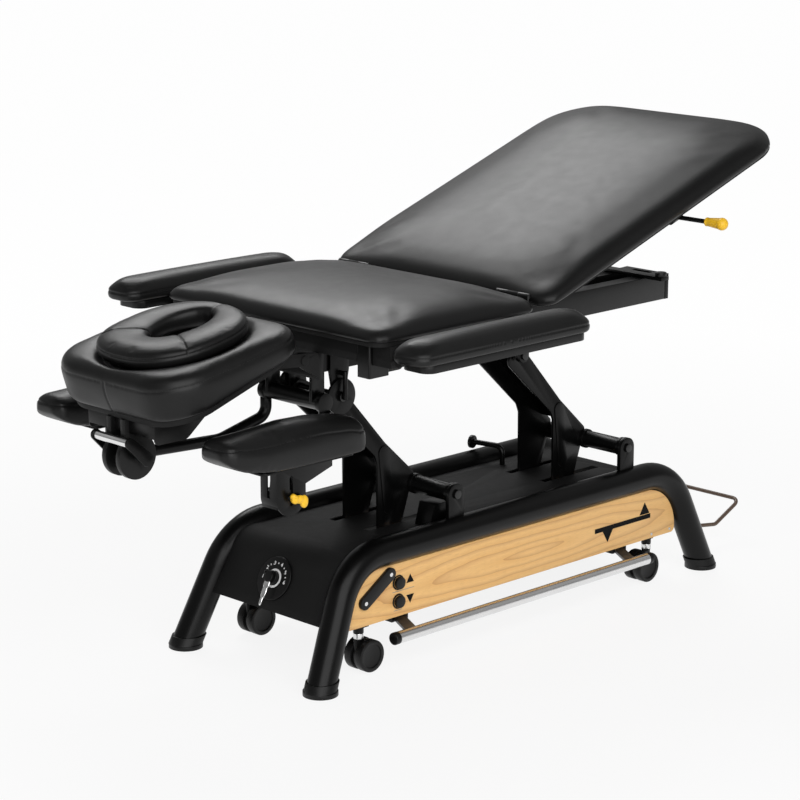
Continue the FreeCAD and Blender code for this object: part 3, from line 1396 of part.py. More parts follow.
# Gas strut between the top frame and the long section
gas_head = turned_point(gas_head_x, board_low - gas_head_drop, fold_x, fold_z, -fold_deg)
strut_pair(
    (gas_foot_x, gas_foot_z), gas_head, ("gas_strut_body", "gas_strut_rod"),
    gas_eye_r, gas_eye_t, gas_pin_r, gas_eye_t / 2 + air + gas_lug_t, gas_r, gas_l,
    gas_rod_r + air, gas_rod_r, gas_rod_start, gas_fork_t, fork_gap, gas_lug_t, gas_eye_r, 0)
gas_head_lug = link((gas_head_x, board_low - gas_eye_r), (gas_head_x, board_low - gas_head_drop),
                    gas_eye_r, gas_eye_r, -gas_lug_t / 2, gas_lug_t / 2)
frame_parts.append(gas_head_lug.cut(box(
    gas_head_x - half_room, gas_head_x + half_room, -half_room, half_room,
    board_low, board_low + half_room)))

# Lift lever under the foot end of the long section
lever_x = fold_x + lift_lever_along
lever_z = board_low - lift_lever_drop
lever_lugs = []
for side in (-1, 1):
    lug_x = lever_x + side * (lift_boss_l / 2 + air)
    lug_end = lug_x + side * long_plate_t
    low_x, high_x = min(lug_x, lug_end), max(lug_x, lug_end)
    lug = fuse(
        box(low_x, high_x, lift_lever_y - lift_boss_r, lift_lever_y + lift_boss_r,
            lever_z, board_low),
        rod_x(lift_boss_r, lift_lever_y, lever_z, low_x, high_x))
    lever_lugs.append(lug.cut(rod_x(lift_lever_r + shaft_fit, lift_lever_y, lever_z,
                                    low_x - overrun, high_x + overrun)))
frame_parts += lever_lugs
save("long_frame", [raised(one) for one in frame_parts])
pin_reach = lift_boss_l / 2 + air + long_plate_t
grip_start = lift_lever_y - lift_lever_rod_l
grip_end = grip_start - lift_grip_l
lever_end = grip_start - lift_grip_l / 2
lever_boss = fuse(
    rod_x(lift_boss_r, lift_lever_y, lever_z, lever_x - lift_boss_l / 2,
          lever_x + lift_boss_l / 2),
    rod_x(lift_lever_r, lift_lever_y, lever_z, lever_x - pin_reach, lever_x + pin_reach),
    rod_y(lift_lever_r, lever_x, lever_z, lever_end, lift_lever_y))
taper = Part.makeCone(lift_grip_r, lift_grip_end_r, lift_grip_l,
                      V(lever_x, grip_start, lever_z), -Y_DIR)
grip = fuse(taper, Part.makeSphere(lift_grip_end_r, V(lever_x, grip_end, lever_z)))
grip = grip.cut(rod_y(lift_lever_r, lever_x, lever_z, lever_end, lift_lever_y))
save("lift_lever", raised(lever_boss))
save("lift_lever_grip", raised(grip))


# Head section, made level and then dropped about its hinge
def dropped(shape):
    return turned(shape, head_hinge_x, head_hinge_z, -head_drop_deg)


head_board = slab(head_front_x + board_inset, head_rear_x - board_inset,
                  -head_half_w + board_inset, head_half_w - board_inset,
                  [head_corner] * 4, board_low, pad_bottom)
hole_y = face_hole_w / 2
hole_x0, hole_x1 = face_hole_x - face_hole_l / 2, face_hole_x + face_hole_l / 2
hole_cut = slab(hole_x0, hole_x1, -hole_y, hole_y, [hole_y * corner_most_share] * 4,
                board_low - overrun, pad_bottom + head_front_t * 2)
wedge = math.atan2(head_front_t - head_rear_t, head_rear_x - head_front_x)
wedge_x = head_rear_x + head_rear_t / math.tan(wedge)
head_pad = cushion(head_front_x, head_rear_x, -head_half_w, head_half_w, [head_corner] * 4,
                   pad_bottom, head_front_t, head_crown, math.degrees(wedge), wedge_x)
moat_x0, moat_x1 = ring_x - moat_l / 2, ring_x + moat_l / 2
moat = slab(moat_x0, moat_x1, -moat_w / 2, moat_w / 2, [moat_w / 2 * corner_most_share] * 4,
            0, head_front_t * 2)
surface_z = pad_bottom + (wedge_x - ring_x) * math.tan(wedge)
moat.translate(V(0, 0, surface_z - moat_depth))
moat.rotate(V(ring_x, 0, surface_z), Y_DIR, math.degrees(wedge))
head_pad = head_pad.cut(moat).cut(hole_cut)
save("head_frame", dropped(head_board.cut(hole_cut)))
save("head_cushion", dropped(head_pad))

ring_x0, ring_x1 = ring_x - ring_l / 2, ring_x + ring_l / 2
ring = cushion(ring_x0, ring_x1, -ring_w / 2, ring_w / 2, [ring_w / 2 * corner_most_share] * 4,
               surface_z - moat_depth, ring_t, ring_crown)
ring = ring.cut(slab(hole_x0, hole_x1, -hole_y, hole_y, [hole_y * corner_most_share] * 4,
                     surface_z - moat_depth - overrun, surface_z + ring_t * 2))
ring = ring.cut(box(face_hole_x, ring_x1 + overrun, -ring_gap / 2, ring_gap / 2,
                    surface_z - moat_depth - overrun, surface_z + ring_t * 2))
ring.rotate(V(ring_x, 0, surface_z), Y_DIR, math.degrees(wedge))
save("face_ring", dropped(ring))

head_rail_end = head_rear_x - board_inset - head_corner / 2
head_low = board_low - head_rail_h
head_frame = []
for sign in (-1, 1):
    low_y = sign * head_rail_y - head_rail_w / 2
    head_frame.append(box(head_front_x + head_corner, head_rail_end, low_y,
                          low_y + head_rail_w, head_low, board_low))
moving_in = lug_out + air
moving_lug = plate([
    (head_rail_end - head_lug_l, board_low), (head_rail_end, board_low),
    (head_hinge_x + head_lug_r * math.sqrt(0.5), head_hinge_z + head_lug_r * math.sqrt(0.5)),
    (head_hinge_x - head_lug_r * math.sqrt(0.5), head_hinge_z - head_lug_r * math.sqrt(0.5))],
    0, -moving_in - head_lug_t, -moving_in)
moving_lug = fuse(moving_lug, rod_y(head_lug_r, head_hinge_x, head_hinge_z,
                                    -moving_in - head_lug_t, -moving_in))
hinge_pin = rod_y(head_pin_r, head_hinge_x, head_hinge_z, -moving_in - head_lug_t - head_pin_head,
                  -lug_in)
hinge_cap = rod_y(head_pin_cap_r, head_hinge_x, head_hinge_z,
                  -moving_in - head_lug_t - head_pin_head, -moving_in - head_lug_t)
moving_lug = fuse(moving_lug, hinge_pin, hinge_cap)
head_frame += both(moving_lug)

# Lock discs and their carrier hang from the head board
pan_x0, pan_x1 = dropped_pan_front_x, dropped_pan_rear_x
save("head_frame", [dropped(one) for one in head_frame])


def under_board(x):
    """Height of the dropped head board's underside at an X place."""
    base_x, base_z = turned_point(head_hinge_x, board_low, head_hinge_x, head_hinge_z,
                                  -head_drop_deg)
    return base_z + (x - base_x) * math.tan(math.radians(head_drop_deg))


fairing_plate = plate([
    (pan_x0, under_board(pan_x0)), (pan_x0, pan_z), (pan_mid_x, pan_z),
    (pan_x1, pan_rise_z), (pan_rear_top_x, under_board(pan_rear_top_x))],
    [0, pan_corner, pan_corner * 2, pan_corner, 0], -pan_half_w, -pan_half_w + pan_t)
fairing_front = box(pan_x0, pan_x0 + pan_t, -pan_half_w + pan_t, pan_half_w - pan_t,
                    pan_z + pan_corner, under_board(pan_x0))
fairing_front = fairing_front.cut(plate([
    (pan_x0 - overrun, under_board(pan_x0 - overrun)),
    (pan_x0 + half_room, under_board(pan_x0 + half_room)),
    (pan_x0 - overrun, under_board(pan_x0) + half_room)], 0, -half_room, half_room))

lock_parts = []
for centre_y in (lock_disc_y, lock_disc_y + lock_disc_gap):
    low_y, high_y = centre_y - lock_disc_t / 2, centre_y + lock_disc_t / 2
    disc = rod_y(lock_disc_r, lock_x0, lock_z0, low_y, high_y)
    neck_top_x = lock_x0 + lock_disc_r * neck_share
    neck = plate([
        (lock_x0 - lock_disc_r * neck_share, lock_z0), (neck_top_x, lock_z0),
        (neck_top_x, under_board(neck_top_x)),
        (lock_x0 - lock_disc_r * neck_share, under_board(lock_x0 - lock_disc_r * neck_share))],
        0, low_y, high_y)
    piece = fuse(disc, neck)
    lock_parts.append(piece.cut(rod_y(handle_pin_r + shaft_fit, lock_x0, lock_z0, -half_room,
                                      half_room)))
fairing = fuse(fairing_plate, far_side(fairing_plate), fairing_front)
save("head_fairing", [fairing.cut(lock_parts[0]).cut(lock_parts[1])] + lock_parts)

# Handle: two arms on the lock pin, with a chrome grip between them
arm_in = grip_half_l
handle_arms = []
for side in (-1, 1):
    near_y, far_y = side * arm_in, side * (arm_in + handle_arm_t)
    handle_arms.append(link((lock_x0, lock_z0), (grip_x, grip_z), handle_arm_r,
                            handle_tip_r, min(near_y, far_y), max(near_y, far_y)))
handle_pin = rod_y(handle_pin_r, lock_x0, lock_z0, -arm_in, arm_in)
save("head_handle", fuse(handle_arms[0], handle_arms[1], handle_pin))
save("head_grip", rod_y(grip_r, grip_x, grip_z, -grip_half_l, grip_half_l))

# Buffers at the foot end of the top frame carry the long section when it is level
buffer_x = rail_foot_x - buffer_back
buffer_parts = [box(buffer_x - buffer_w / 2, buffer_x + buffer_w / 2,
                    -long_rail_y - buffer_w / 2, long_rail_y + buffer_w / 2,
                    rail_top, rail_top + buffer_bar_t)]
save("top_bars", buffer_parts)
save("top_stops", both(rod_z(buffer_w * half, buffer_x, -long_rail_y,
                           rail_top + buffer_bar_t, frame_low - air)))

for name, solids in nodes.items():
    shape = solids[0] if len(solids) == 1 else Part.makeCompound(solids)
    shape.exportStep("parts/" + name + ".step")
print(len(nodes), "nodes,", sum(len(solids) for solids in nodes.values()), "solids")
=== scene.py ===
import json
import math

import bpy
import numpy as np
from mathutils import Matrix, Vector
from mathutils.bvhtree import BVHTree
from mathutils.kdtree import KDTree

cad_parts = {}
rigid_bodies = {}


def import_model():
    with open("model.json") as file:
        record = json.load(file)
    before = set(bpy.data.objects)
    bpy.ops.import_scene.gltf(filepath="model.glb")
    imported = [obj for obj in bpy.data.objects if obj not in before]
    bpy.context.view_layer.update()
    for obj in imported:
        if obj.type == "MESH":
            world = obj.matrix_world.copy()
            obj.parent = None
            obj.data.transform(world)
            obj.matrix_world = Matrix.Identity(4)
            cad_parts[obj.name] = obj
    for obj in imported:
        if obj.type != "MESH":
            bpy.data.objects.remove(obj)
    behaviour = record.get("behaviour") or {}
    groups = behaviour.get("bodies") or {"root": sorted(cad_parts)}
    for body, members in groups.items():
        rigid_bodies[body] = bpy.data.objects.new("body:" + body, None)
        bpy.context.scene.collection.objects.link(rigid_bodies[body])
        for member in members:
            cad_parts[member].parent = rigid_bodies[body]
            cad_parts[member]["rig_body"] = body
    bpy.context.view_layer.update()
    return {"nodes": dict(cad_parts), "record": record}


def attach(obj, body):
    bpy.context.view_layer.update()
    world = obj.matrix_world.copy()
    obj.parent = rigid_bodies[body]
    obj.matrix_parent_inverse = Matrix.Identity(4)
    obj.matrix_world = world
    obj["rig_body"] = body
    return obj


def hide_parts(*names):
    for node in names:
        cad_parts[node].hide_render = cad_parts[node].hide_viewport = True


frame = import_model()
nodes = frame["nodes"]
nodeSlot = {part["node"]: part["material_slot"] for part in frame["record"]["subparts"]}
print("frame loaded:", len(nodes), "nodes")

camera = {"spot": (-4.0035, -3.8630, 1.812), "aim": (0.6836, 0.6908, -0.2355), "lens": 119.25, "roll": 0.08}


def placeCamera(p=camera):
    data = bpy.data.cameras.new("photoCamera")
    data.lens = p["lens"]
    data.sensor_width = 36
    data.clip_end = 200
    eye = bpy.data.objects.new("photoCamera", data)
    bpy.context.scene.collection.objects.link(eye)
    turn = Vector(p["aim"]).to_track_quat("-Z", "Y").to_matrix().to_4x4()
    roll = Matrix.Rotation(math.radians(p["roll"]), 4, "Z")
    eye.matrix_world = Matrix.Translation(p["spot"]) @ turn @ roll
    bpy.context.scene.camera = eye


placeCamera()
bpy.context.scene.view_settings.view_transform = "Standard"
print("camera placed")


class Value:  # one socket, so that shader maths reads as plain sums
    def __init__(self, board, socket):
        self.board = board
        self.socket = socket

    def sum(self, operation, first, second):
        return self.board.add("ShaderNodeMath", {"operation": operation}, {0: first, 1: second})

    def __add__(self, other):
        return self.sum("ADD", self, other)

    def __radd__(self, other):
        return self.sum("ADD", other, self)

    def __sub__(self, other):
        return self.sum("SUBTRACT", self, other)

    def __rsub__(self, other):
        return self.sum("SUBTRACT", other, self)

    def __mul__(self, other):
        return self.sum("MULTIPLY", self, other)

    def __rmul__(self, other):
        return self.sum("MULTIPLY", other, self)


class Board:  # a node tree and its shader: one material, or the studio's surroundings
    def __init__(self, name, world=None):
        self.material = world or bpy.data.materials.new(name)
        self.material.use_nodes = True
        self.tree = self.material.node_tree
        self.tree.nodes.clear()
        self.shader = self.tree.nodes.new("ShaderNodeBackground" if world else "ShaderNodeBsdfPrincipled")
        self.out = self.tree.nodes.new("ShaderNodeOutputWorld" if world else "ShaderNodeOutputMaterial")
        self.tree.links.new(self.shader.outputs[0], self.out.inputs[0])

    def feed(self, socket, value):
        if isinstance(value, Value):
            self.tree.links.new(value.socket, socket)
        else:
            socket.default_value = value

    def add(self, kind, settings=None, values=None, out=0):
        node = self.tree.nodes.new(kind)
        for key, setting in (settings or {}).items():
            if key == "stops":
                ramp = node.color_ramp
                while len(ramp.elements) < len(setting):
                    ramp.elements.new(0.5)
                for stop, (place, colour) in zip(ramp.elements, setting):
                    stop.position = place
                    stop.color = colour
            else:
                setattr(node, key, setting)
        for key, value in (values or {}).items():
            self.feed(node.inputs[key], value)
        return Value(self, node.outputs[out])

    def rays(self, *names):  # the share of the rays that are of these kinds
        paths = self.add("ShaderNodeLightPath").socket.node
        total = Value(self, paths.outputs[names[0]])
        for name in names[1:]:
            total = total + Value(self, paths.outputs[name])
        return total

    def place(self, scale=(1, 1, 1), turn=(0, 0, 0), shift=(0, 0, 0)):
        spot = self.add("ShaderNodeTexCoord", out="Object")
        values = {"Vector": spot, "Scale": scale, "Rotation": turn, "Location": shift}
        return self.add("ShaderNodeMapping", {}, values)

    def noise(self, where, scale, detail=3.0, rough=0.5):
        values = {"Vector": where, "Scale": scale, "Detail": detail, "Roughness": rough}
        return self.add("ShaderNodeTexNoise", {}, values)

    def mix(self, share, first, second):
        return self.add("ShaderNodeMix", {"data_type": "RGBA"}, {0: share, 6: first, 7: second}, 2)

    def ramp(self, value, stops):
        return self.add("ShaderNodeValToRGB", {"stops": stops}, {0: value})

    def bump(self, height, strength, distance):
        values = {"Strength": strength, "Distance": distance, "Height": height}
        return self.add("ShaderNodeBump", {}, values)

    def finish(self, **sockets):
        names = {"colour": "Base Color", "rough": "Roughness", "metal": "Metallic", "normal": "Normal",
                 "coat": "Coat Weight", "coatRough": "Coat Roughness", "specular": "Specular IOR Level"}
        for key, value in sockets.items():
            self.feed(self.shader.inputs[names[key]], value)
        return self.material


def grey(level):
    return (level, level, level, 1)


vinylLook = {"dark": 0.004, "pale": 0.0075, "grain": 520, "rough": 0.38, "specular": 0.27}


def makeVinyl(name, look=vinylLook):
    board = Board(name)
    where = board.place()
    grain = {"Vector": where, "Scale": look["grain"]}
    cell = board.add("ShaderNodeTexVoronoi", {"feature": "DISTANCE_TO_EDGE"}, grain, "Distance")
    pore = board.noise(where, look["grain"] * 2.2, 2)
    cloud = board.noise(where, 9, 4)
    wear = board.noise(where, 34, 3)
    swell = board.noise(where, 17, 2)
    colour = board.mix(cloud, grey(look["dark"]), grey(look["pale"]))
    rough = look["rough"] + (wear - 0.5) * 0.10 + (pore - 0.5) * 0.06
    height = cell * 0.6 + pore * 0.4 + swell * 1.4
    bumps = board.bump(height, 0.16, 0.0007)
    return board.finish(colour=colour, rough=rough, normal=bumps, specular=look["specular"])


def makePowder(name, dark=0.0014, pale=0.0030, rough=0.30, specular=0.20):
    board = Board(name)
    where = board.place()
    peel = board.noise(where, 900, 2)
    cloud = board.noise(where, 6, 3)
    scuff = board.noise(where, 60, 5, 0.7)
    colour = board.mix(cloud, grey(dark), grey(pale))
    worn = rough + (scuff - 0.5) * 0.12
    return board.finish(colour=colour, rough=worn, normal=board.bump(peel, 0.1, 0.0005), specular=specular)


woodLook = {"light": (0.90, 0.545, 0.205, 1), "middle": (0.83, 0.475, 0.165, 1),
            "line": (0.75, 0.43, 0.165, 1), "deep": (0.60, 0.29, 0.088, 1),
            "pore": (0.42, 0.2, 0.07, 1), "sun": (0.93, 0.65, 0.32, 1)}


def makeWood(name, look=woodLook):
    board = Board(name)
    sway = board.noise(board.place((1.1, 4, 3.2)), 2.6, 2)
    long = board.place((2.7, 14, 15), (0, 0, 0.5), (0, 2.25, -2.35))
    kind = {"wave_type": "RINGS", "rings_direction": "X", "wave_profile": "SAW"}
    shape = {"Vector": long, "Scale": 1.35, "Distortion": 3.2, "Detail": 3.0, "Detail Scale": 1.1}
    rings = board.add("ShaderNodeTexWave", kind, {**shape, "Phase Offset": sway * 5}, 1)
    fibre = board.noise(board.place((9, 260, 260)), 4, 4, 0.6)
    pores = board.noise(board.place((24, 900, 900)), 2, 2, 0.5)
    cloud = board.noise(board.place(), 3.5, 2)
    stops = [(0.0, look["middle"]), (0.55, look["light"]), (0.86, look["line"]), (1.0, look["deep"])]
    tone = board.ramp(rings, stops)
    tone = board.mix((fibre - 0.35) * 0.5, tone, look["deep"])
    poreMask = board.ramp(pores, [(0.36, grey(1)), (0.44, grey(0))])
    tone = board.mix(poreMask * 0.3, tone, look["pore"])
    tone = board.mix(cloud * 0.25, tone, look["sun"])
    bumps = board.bump(fibre, 0.12, 0.0006)
    return board.finish(colour=tone, rough=0.46 + fibre * 0.12, normal=bumps, coat=0.08, coatRough=0.4)


def makeMetal(name, tone=0.62, rough=0.3, along=(1, 1, 1), streak=0.16):
    board = Board(name)
    lines = board.noise(board.place(along), 60, 3, 0.6)
    cloud = board.noise(board.place(), 14, 3)
    colour = board.mix(cloud, grey(tone * 0.84), grey(tone))
    brushed = rough + (lines - 0.5) * streak
    return board.finish(colour=colour, metal=1.0, rough=brushed, normal=board.bump(lines, 0.06, 0.0004))


def makePlastic(name, dark, pale, rough=0.45, grain=1400, strength=0.08, specular=0.4):
    board = Board(name)
    speck = board.noise(board.place(), grain, 2)
    cloud = board.noise(board.place(), 22, 3)
    colour = board.mix(cloud, dark, pale)
    bumps = board.bump(speck, strength, 0.0005)
    return board.finish(colour=colour, rough=rough + (cloud - 0.5) * 0.12, normal=bumps, specular=specular)


vinyl = makeVinyl("vinylBlack")
powder = makePowder("powderBlack")
coverPaint = makePowder("coverBlack", 0.009, 0.014, 0.60, 0.12)
boardPaint = makePowder("boardBlack", 0.004, 0.007, 0.66, 0.25)
ash = makeWood("ashWood")
plastic = makePlastic("plasticBlack", grey(0.002), grey(0.005), 0.38, 1400, 0.08, 0.28)
rubber = makePlastic("rubberBlack", grey(0.002), grey(0.005), 0.42, 700, 0.10, 0.26)
yellow = makePlastic("plasticYellow", (0.88, 0.50, 0.02, 1), (0.95, 0.57, 0.035, 1), 0.34, 900, 0.03)
steel = makeMetal("steelBrushed", 0.86, 0.27, (0.05, 3, 3))
chrome = makeMetal("chromePlate", 0.85, 0.13, (1, 1, 1), 0.05)
zinc = makeMetal("zincBolt", 0.6, 0.34, (3, 3, 3))
wire = makePlastic("wireBrown", (0.085, 0.055, 0.038, 1), (0.12, 0.08, 0.055, 1), 0.42, 900, 0.06)
ink = makePlastic("printBlack", grey(0.002), grey(0.004), 0.6, 1400, 0.03, 0.1)
inkGrey = makePlastic("printGrey", grey(0.25), grey(0.32), 0.6, 1400, 0.03)
inkWhite = makePlastic("printWhite", grey(0.85), grey(0.92), 0.5, 1400, 0.03)
bolt = makeMetal("boltBlack", 0.06, 0.36, (3, 3, 3))
gunmetal = makeMetal("strutGrey", 0.22, 0.4, (3, 3, 3))
thread = makePlastic("threadBlack", grey(0.010), grey(0.018), 0.7, 3000, 0.2)

slotLook = {"frame_black": powder, "board_black": boardPaint, "vinyl_black": vinyl, "ash_wood": ash,
            "black_plastic": plastic, "yellow_plastic": yellow, "chrome": chrome, "steel": steel,
            "rubber_black": rubber, "dark_wire": wire}


def dress(piece, look):
    piece.data.materials.clear()
    piece.data.materials.append(look)


for name, node in nodes.items():
    dress(node, coverPaint if name == "base_cover" else slotLook.get(nodeSlot.get(name, ""), powder))
print("materials ready")


def deselect():
    if bpy.context.object and bpy.context.object.mode != "OBJECT":
        bpy.ops.object.mode_set(mode="OBJECT")
    bpy.ops.object.select_all(action="DESELECT")


def take(piece):  # makes a piece the only selected and active one
    deselect()
    piece.select_set(True)
    bpy.context.view_layer.objects.active = piece


def newest(name):  # the primitive just added, named and settled at the origin
    piece = bpy.context.object
    piece.name = name
    piece.data.name = name
    take(piece)
    bpy.ops.object.transform_apply(location=True, rotation=True, scale=True)
    return piece


def pick(piece, mode, test):  # enters edit mode with only the parts that pass the test selected
    take(piece)
    mesh = piece.data
    bpy.ops.object.mode_set(mode="EDIT")
    bpy.ops.mesh.select_mode(type=mode)
    bpy.ops.mesh.select_all(action="DESELECT")
    bpy.ops.object.mode_set(mode="OBJECT")
    if mode == "EDGE":
        for e in mesh.edges:
            e.select = test(mesh.vertices[e.vertices[0]].co, mesh.vertices[e.vertices[1]].co)
    else:
        for f in mesh.polygons:
            f.select = test(f.center, f.normal)
    bpy.ops.object.mode_set(mode="EDIT")


def back():
    bpy.ops.object.mode_set(mode="OBJECT")


def useModifier(piece, kind, **settings):
    take(piece)
    added = piece.modifiers.new(kind.lower(), kind)
    for key, value in settings.items():
        setattr(added, key, value)
    bpy.ops.object.modifier_apply(modifier=added.name)


def block(name, low, high):  # a plain block between two corners
    deselect()
    bpy.ops.mesh.primitive_cube_add(size=1, location=[(a + b) / 2 for a, b in zip(low, high)])
    bpy.context.object.scale = [b - a for a, b in zip(low, high)]
    return newest(name)


def turnedAbout(piece, spot, degrees):
    x, z = spot
    piece.data.transform(Matrix.Translation((x, 0, z)) @ Matrix.Rotation(math.radians(degrees), 4, "Y")
                         @ Matrix.Translation((-x, 0, -z)))


def mirrored(piece, name):  # the same piece on the far side of the table
    copy = piece.copy()
    copy.data = piece.data.copy()
    copy.name = name
    copy.data.name = name
    bpy.context.scene.collection.objects.link(copy)
    copy.data.transform(Matrix.Scale(-1, 4, (0, 1, 0)))
    copy.data.flip_normals()
    return copy


def points(mesh):
    spots = np.empty(len(mesh.vertices) * 3)
    mesh.vertices.foreach_get("co", spots)
    return spots.reshape(-1, 3)


def setPoints(mesh, spots):
    mesh.vertices.foreach_set("co", spots.reshape(-1))
    mesh.update()


def smoothShade(piece):
    take(piece)
    bpy.ops.object.shade_smooth()


def settle(piece, body, look, node=None):
    dress(piece, look)
    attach(piece, body)
    if node:
        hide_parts(node)


swell = {"frames": 20, "tension": 12, "shear": 6, "bending": 1.6}


def inflate(piece, pressure, most, hold, p=swell):  # the cover swells over its foam, held where hold says
    mesh = piece.data
    start = points(mesh)
    group = piece.vertex_groups.new(name="held")
    group.add([int(i) for i in np.nonzero(hold(start))[0]], 1.0, "REPLACE")
    cloth = piece.modifiers.new("swell", "CLOTH")
    rule = cloth.settings
    rule.use_pressure = True
    rule.uniform_pressure_force = pressure
    rule.effector_weights.gravity = 0
    rule.vertex_group_mass = "held"
    rule.quality = 4
    rule.tension_stiffness = p["tension"]
    rule.compression_stiffness = p["tension"]
    rule.shear_stiffness = p["shear"]
    rule.bending_stiffness = p["bending"]
    cloth.point_cache.frame_start = 1
    cloth.point_cache.frame_end = p["frames"]
    for step in range(1, p["frames"] + 1):
        bpy.context.scene.frame_set(step)
    swollen = points(piece.evaluated_get(bpy.context.evaluated_depsgraph_get()).data)
    piece.modifiers.remove(cloth)
    piece.vertex_groups.clear()
    move = swollen - start
    far = np.linalg.norm(move, axis=1, keepdims=True)
    print(piece.name, "swelled by up to", round(float(far.max()) * 1000, 1), "mm")
    setPoints(mesh, start + move * np.minimum(1, most / np.maximum(far, 1e-9)))
    bpy.context.scene.frame_set(1)


def finishPad(piece, p, hold):  # a pad's calm is how far the swollen cover is drawn tight again
    useModifier(piece, "REMESH", mode="VOXEL", voxel_size=p["voxel"])
    useModifier(piece, "SMOOTH", factor=0.5, iterations=3)
    inflate(piece, p["pressure"], p["most"], hold)
    useModifier(piece, "SMOOTH", factor=0.5, iterations=p["calm"])
    useModifier(piece, "SUBSURF", levels=1, render_levels=1)
    smoothShade(piece)


def roundCorners(piece, corners):  # rounds the upright edges that stand at each X place
    for x, r in corners:
        pick(piece, "EDGE", lambda a, b: (a - b).xy.length < 1e-5 and abs(a.x - x) < 1e-4)
        bpy.ops.mesh.bevel(offset=r, offset_type="OFFSET", segments=12, affect="EDGES")
        back()


def padBlock(name, p, floorRim=0.007):  # rounded in plan, with a softened upper rim
    low, high = p["low"], p["high"]
    piece = block(name, low, high)
    roundCorners(piece, [(low[0], p.get("front", p["corner"])), (high[0], p.get("foot", p["corner"]))])
    for level, size, steps in ((high[2], p["rim"], 7), (low[2], floorRim, 2)):
        pick(piece, "EDGE", lambda a, b: abs(a.z - level) < 1e-5 and abs(b.z - level) < 1e-5)
        bpy.ops.mesh.bevel(offset=size, segments=steps, affect="EDGES")
        back()
    return piece


def wrapBoard(piece, p, inset=0.013):  # a pocket below, so that the cover comes down round the board's edge
    low, high = p["low"], p["high"]
    start = (low[0] + inset, low[1] + inset, low[2] - 0.05)
    end = (high[0] - inset, high[1] - inset, low[2] + p["skirt"])
    tool = block("boardTool", start, end)
    roundCorners(tool, [(low[0] + inset, 0.03), (high[0] - inset, max(p.get("foot", 0) - inset, 0.03))])
    useModifier(piece, "BOOLEAN", operation="DIFFERENCE", object=tool, solver="EXACT")
    bpy.data.objects.remove(tool)


def edgeDistance(spots, low, high, corner):  # how far each point lies inside the rounded outline
    x = np.abs(spots[:, 0] - (low[0] + high[0]) / 2) - (high[0] - low[0]) / 2 + corner
    y = np.abs(spots[:, 1] - (low[1] + high[1]) / 2) - (high[1] - low[1]) / 2 + corner
    out = np.hypot(np.maximum(x, 0), np.maximum(y, 0)) + np.minimum(np.maximum(x, y), 0)
    return np.maximum(corner - out, 0)


def crown(piece, p):  # the foam rises from the rim and levels off; sides draw in between pinched corners
    low, high = p["low"], p["high"]
    spots = points(piece.data)
    deep = np.clip(edgeDistance(spots, low, high, p["corner"] + p["reach"] / 2) / p["reach"], 0, 1)
    dome = 1 - (1 - deep) ** 2.4
    up = np.clip((spots[:, 2] - low[2]) / (high[2] - low[2]), 0, 1)
    spots[:, 2] += p["crown"] * dome * up ** 2
    middleX, halfX = (low[0] + high[0]) / 2, (high[0] - low[0]) / 2
    middleY, halfY = (low[1] + high[1]) / 2, (high[1] - low[1]) / 2
    alongX = (spots[:, 0] - middleX) / halfX
    alongY = (spots[:, 1] - middleY) / halfY
    spots[:, 1] -= p["waist"] * alongY * (1 - np.abs(alongX) ** 2.5) * up
    spots[:, 0] -= p["waist"] * alongX * (1 - np.abs(alongY) ** 2.5) * up
    if "lip" in p:  # the cover is pulled square where two pads meet at the fold
        spots[:, 2] += p["lip"] * np.exp(-((spots[:, 0] - p["lipAt"]) / 0.009) ** 2) * up
    shortX = np.maximum(1 - np.abs(alongX), 0) * halfX
    shortY = np.maximum(1 - np.abs(alongY), 0) * halfY
    nearCorner = np.hypot(shortX, shortY)
    spots[:, 2] -= p["pinch"] * np.clip(1 - nearCorner / p["pinchReach"], 0, 1) ** 2 * up
    setPoints(piece.data, spots)


stitch = {"pitch": 0.0052, "long": 0.0036, "thick": 0.00045, "grooveDepth": 0.0016, "grooveWidth": 0.0019}


def seamHits(piece, starts, ways):  # where a run of rays meets the cover
    tree = BVHTree.FromObject(piece, bpy.context.evaluated_depsgraph_get())
    hits = []
    for start, way in zip(starts, ways):
        spot, normal, _, _ = tree.ray_cast(Vector(start), Vector(way).normalized())
        if spot:
            hits.append((spot, normal))
    return hits


def sew(piece, name, starts, ways, body, p=stitch):  # presses a seam into a finished pad and stitches it
    hits = seamHits(piece, starts, ways)
    tree = KDTree(len(hits))
    for index, (spot, _) in enumerate(hits):
        tree.insert(spot, index)
    tree.balance()
    for v in piece.data.vertices:
        _, _, away = tree.find(v.co)
        if away < p["grooveWidth"] * 3:
            v.co -= v.normal * p["grooveDepth"] * math.exp(-(away / p["grooveWidth"]) ** 2)
    piece.data.update()
    hits = seamHits(piece, starts, ways)
    deselect()
    bpy.ops.mesh.primitive_uv_sphere_add(segments=6, ring_count=4, radius=1)
    bpy.context.object.scale = (p["long"] / 2, p["thick"], p["thick"])
    seam = newest(name)
    unit = points(seam.data)
    faces = [list(f.vertices) for f in seam.data.polygons]
    spots, allFaces, walked = [], [], 0.0
    for (a, _), (b, normal) in zip(hits, hits[1:]):
        walked += (b - a).length
        if walked < p["pitch"] or (b - a).length < 1e-7:
            continue
        walked = 0.0
        along = (b - a).normalized()
        side = normal.cross(along).normalized()
        turn = np.array(Matrix((along, side, along.cross(side))))
        base = len(spots) * len(unit)
        spots.append(unit @ turn + np.array(b + normal * p["thick"] * 0.4))
        allFaces += [[i + base for i in f] for f in faces]
    seam.data.clear_geometry()
    seam.data.from_pydata(np.concatenate(spots).tolist(), [], allFaces)
    seam.data.update()
    smoothShade(seam)
    settle(seam, body, thread)
    return seam


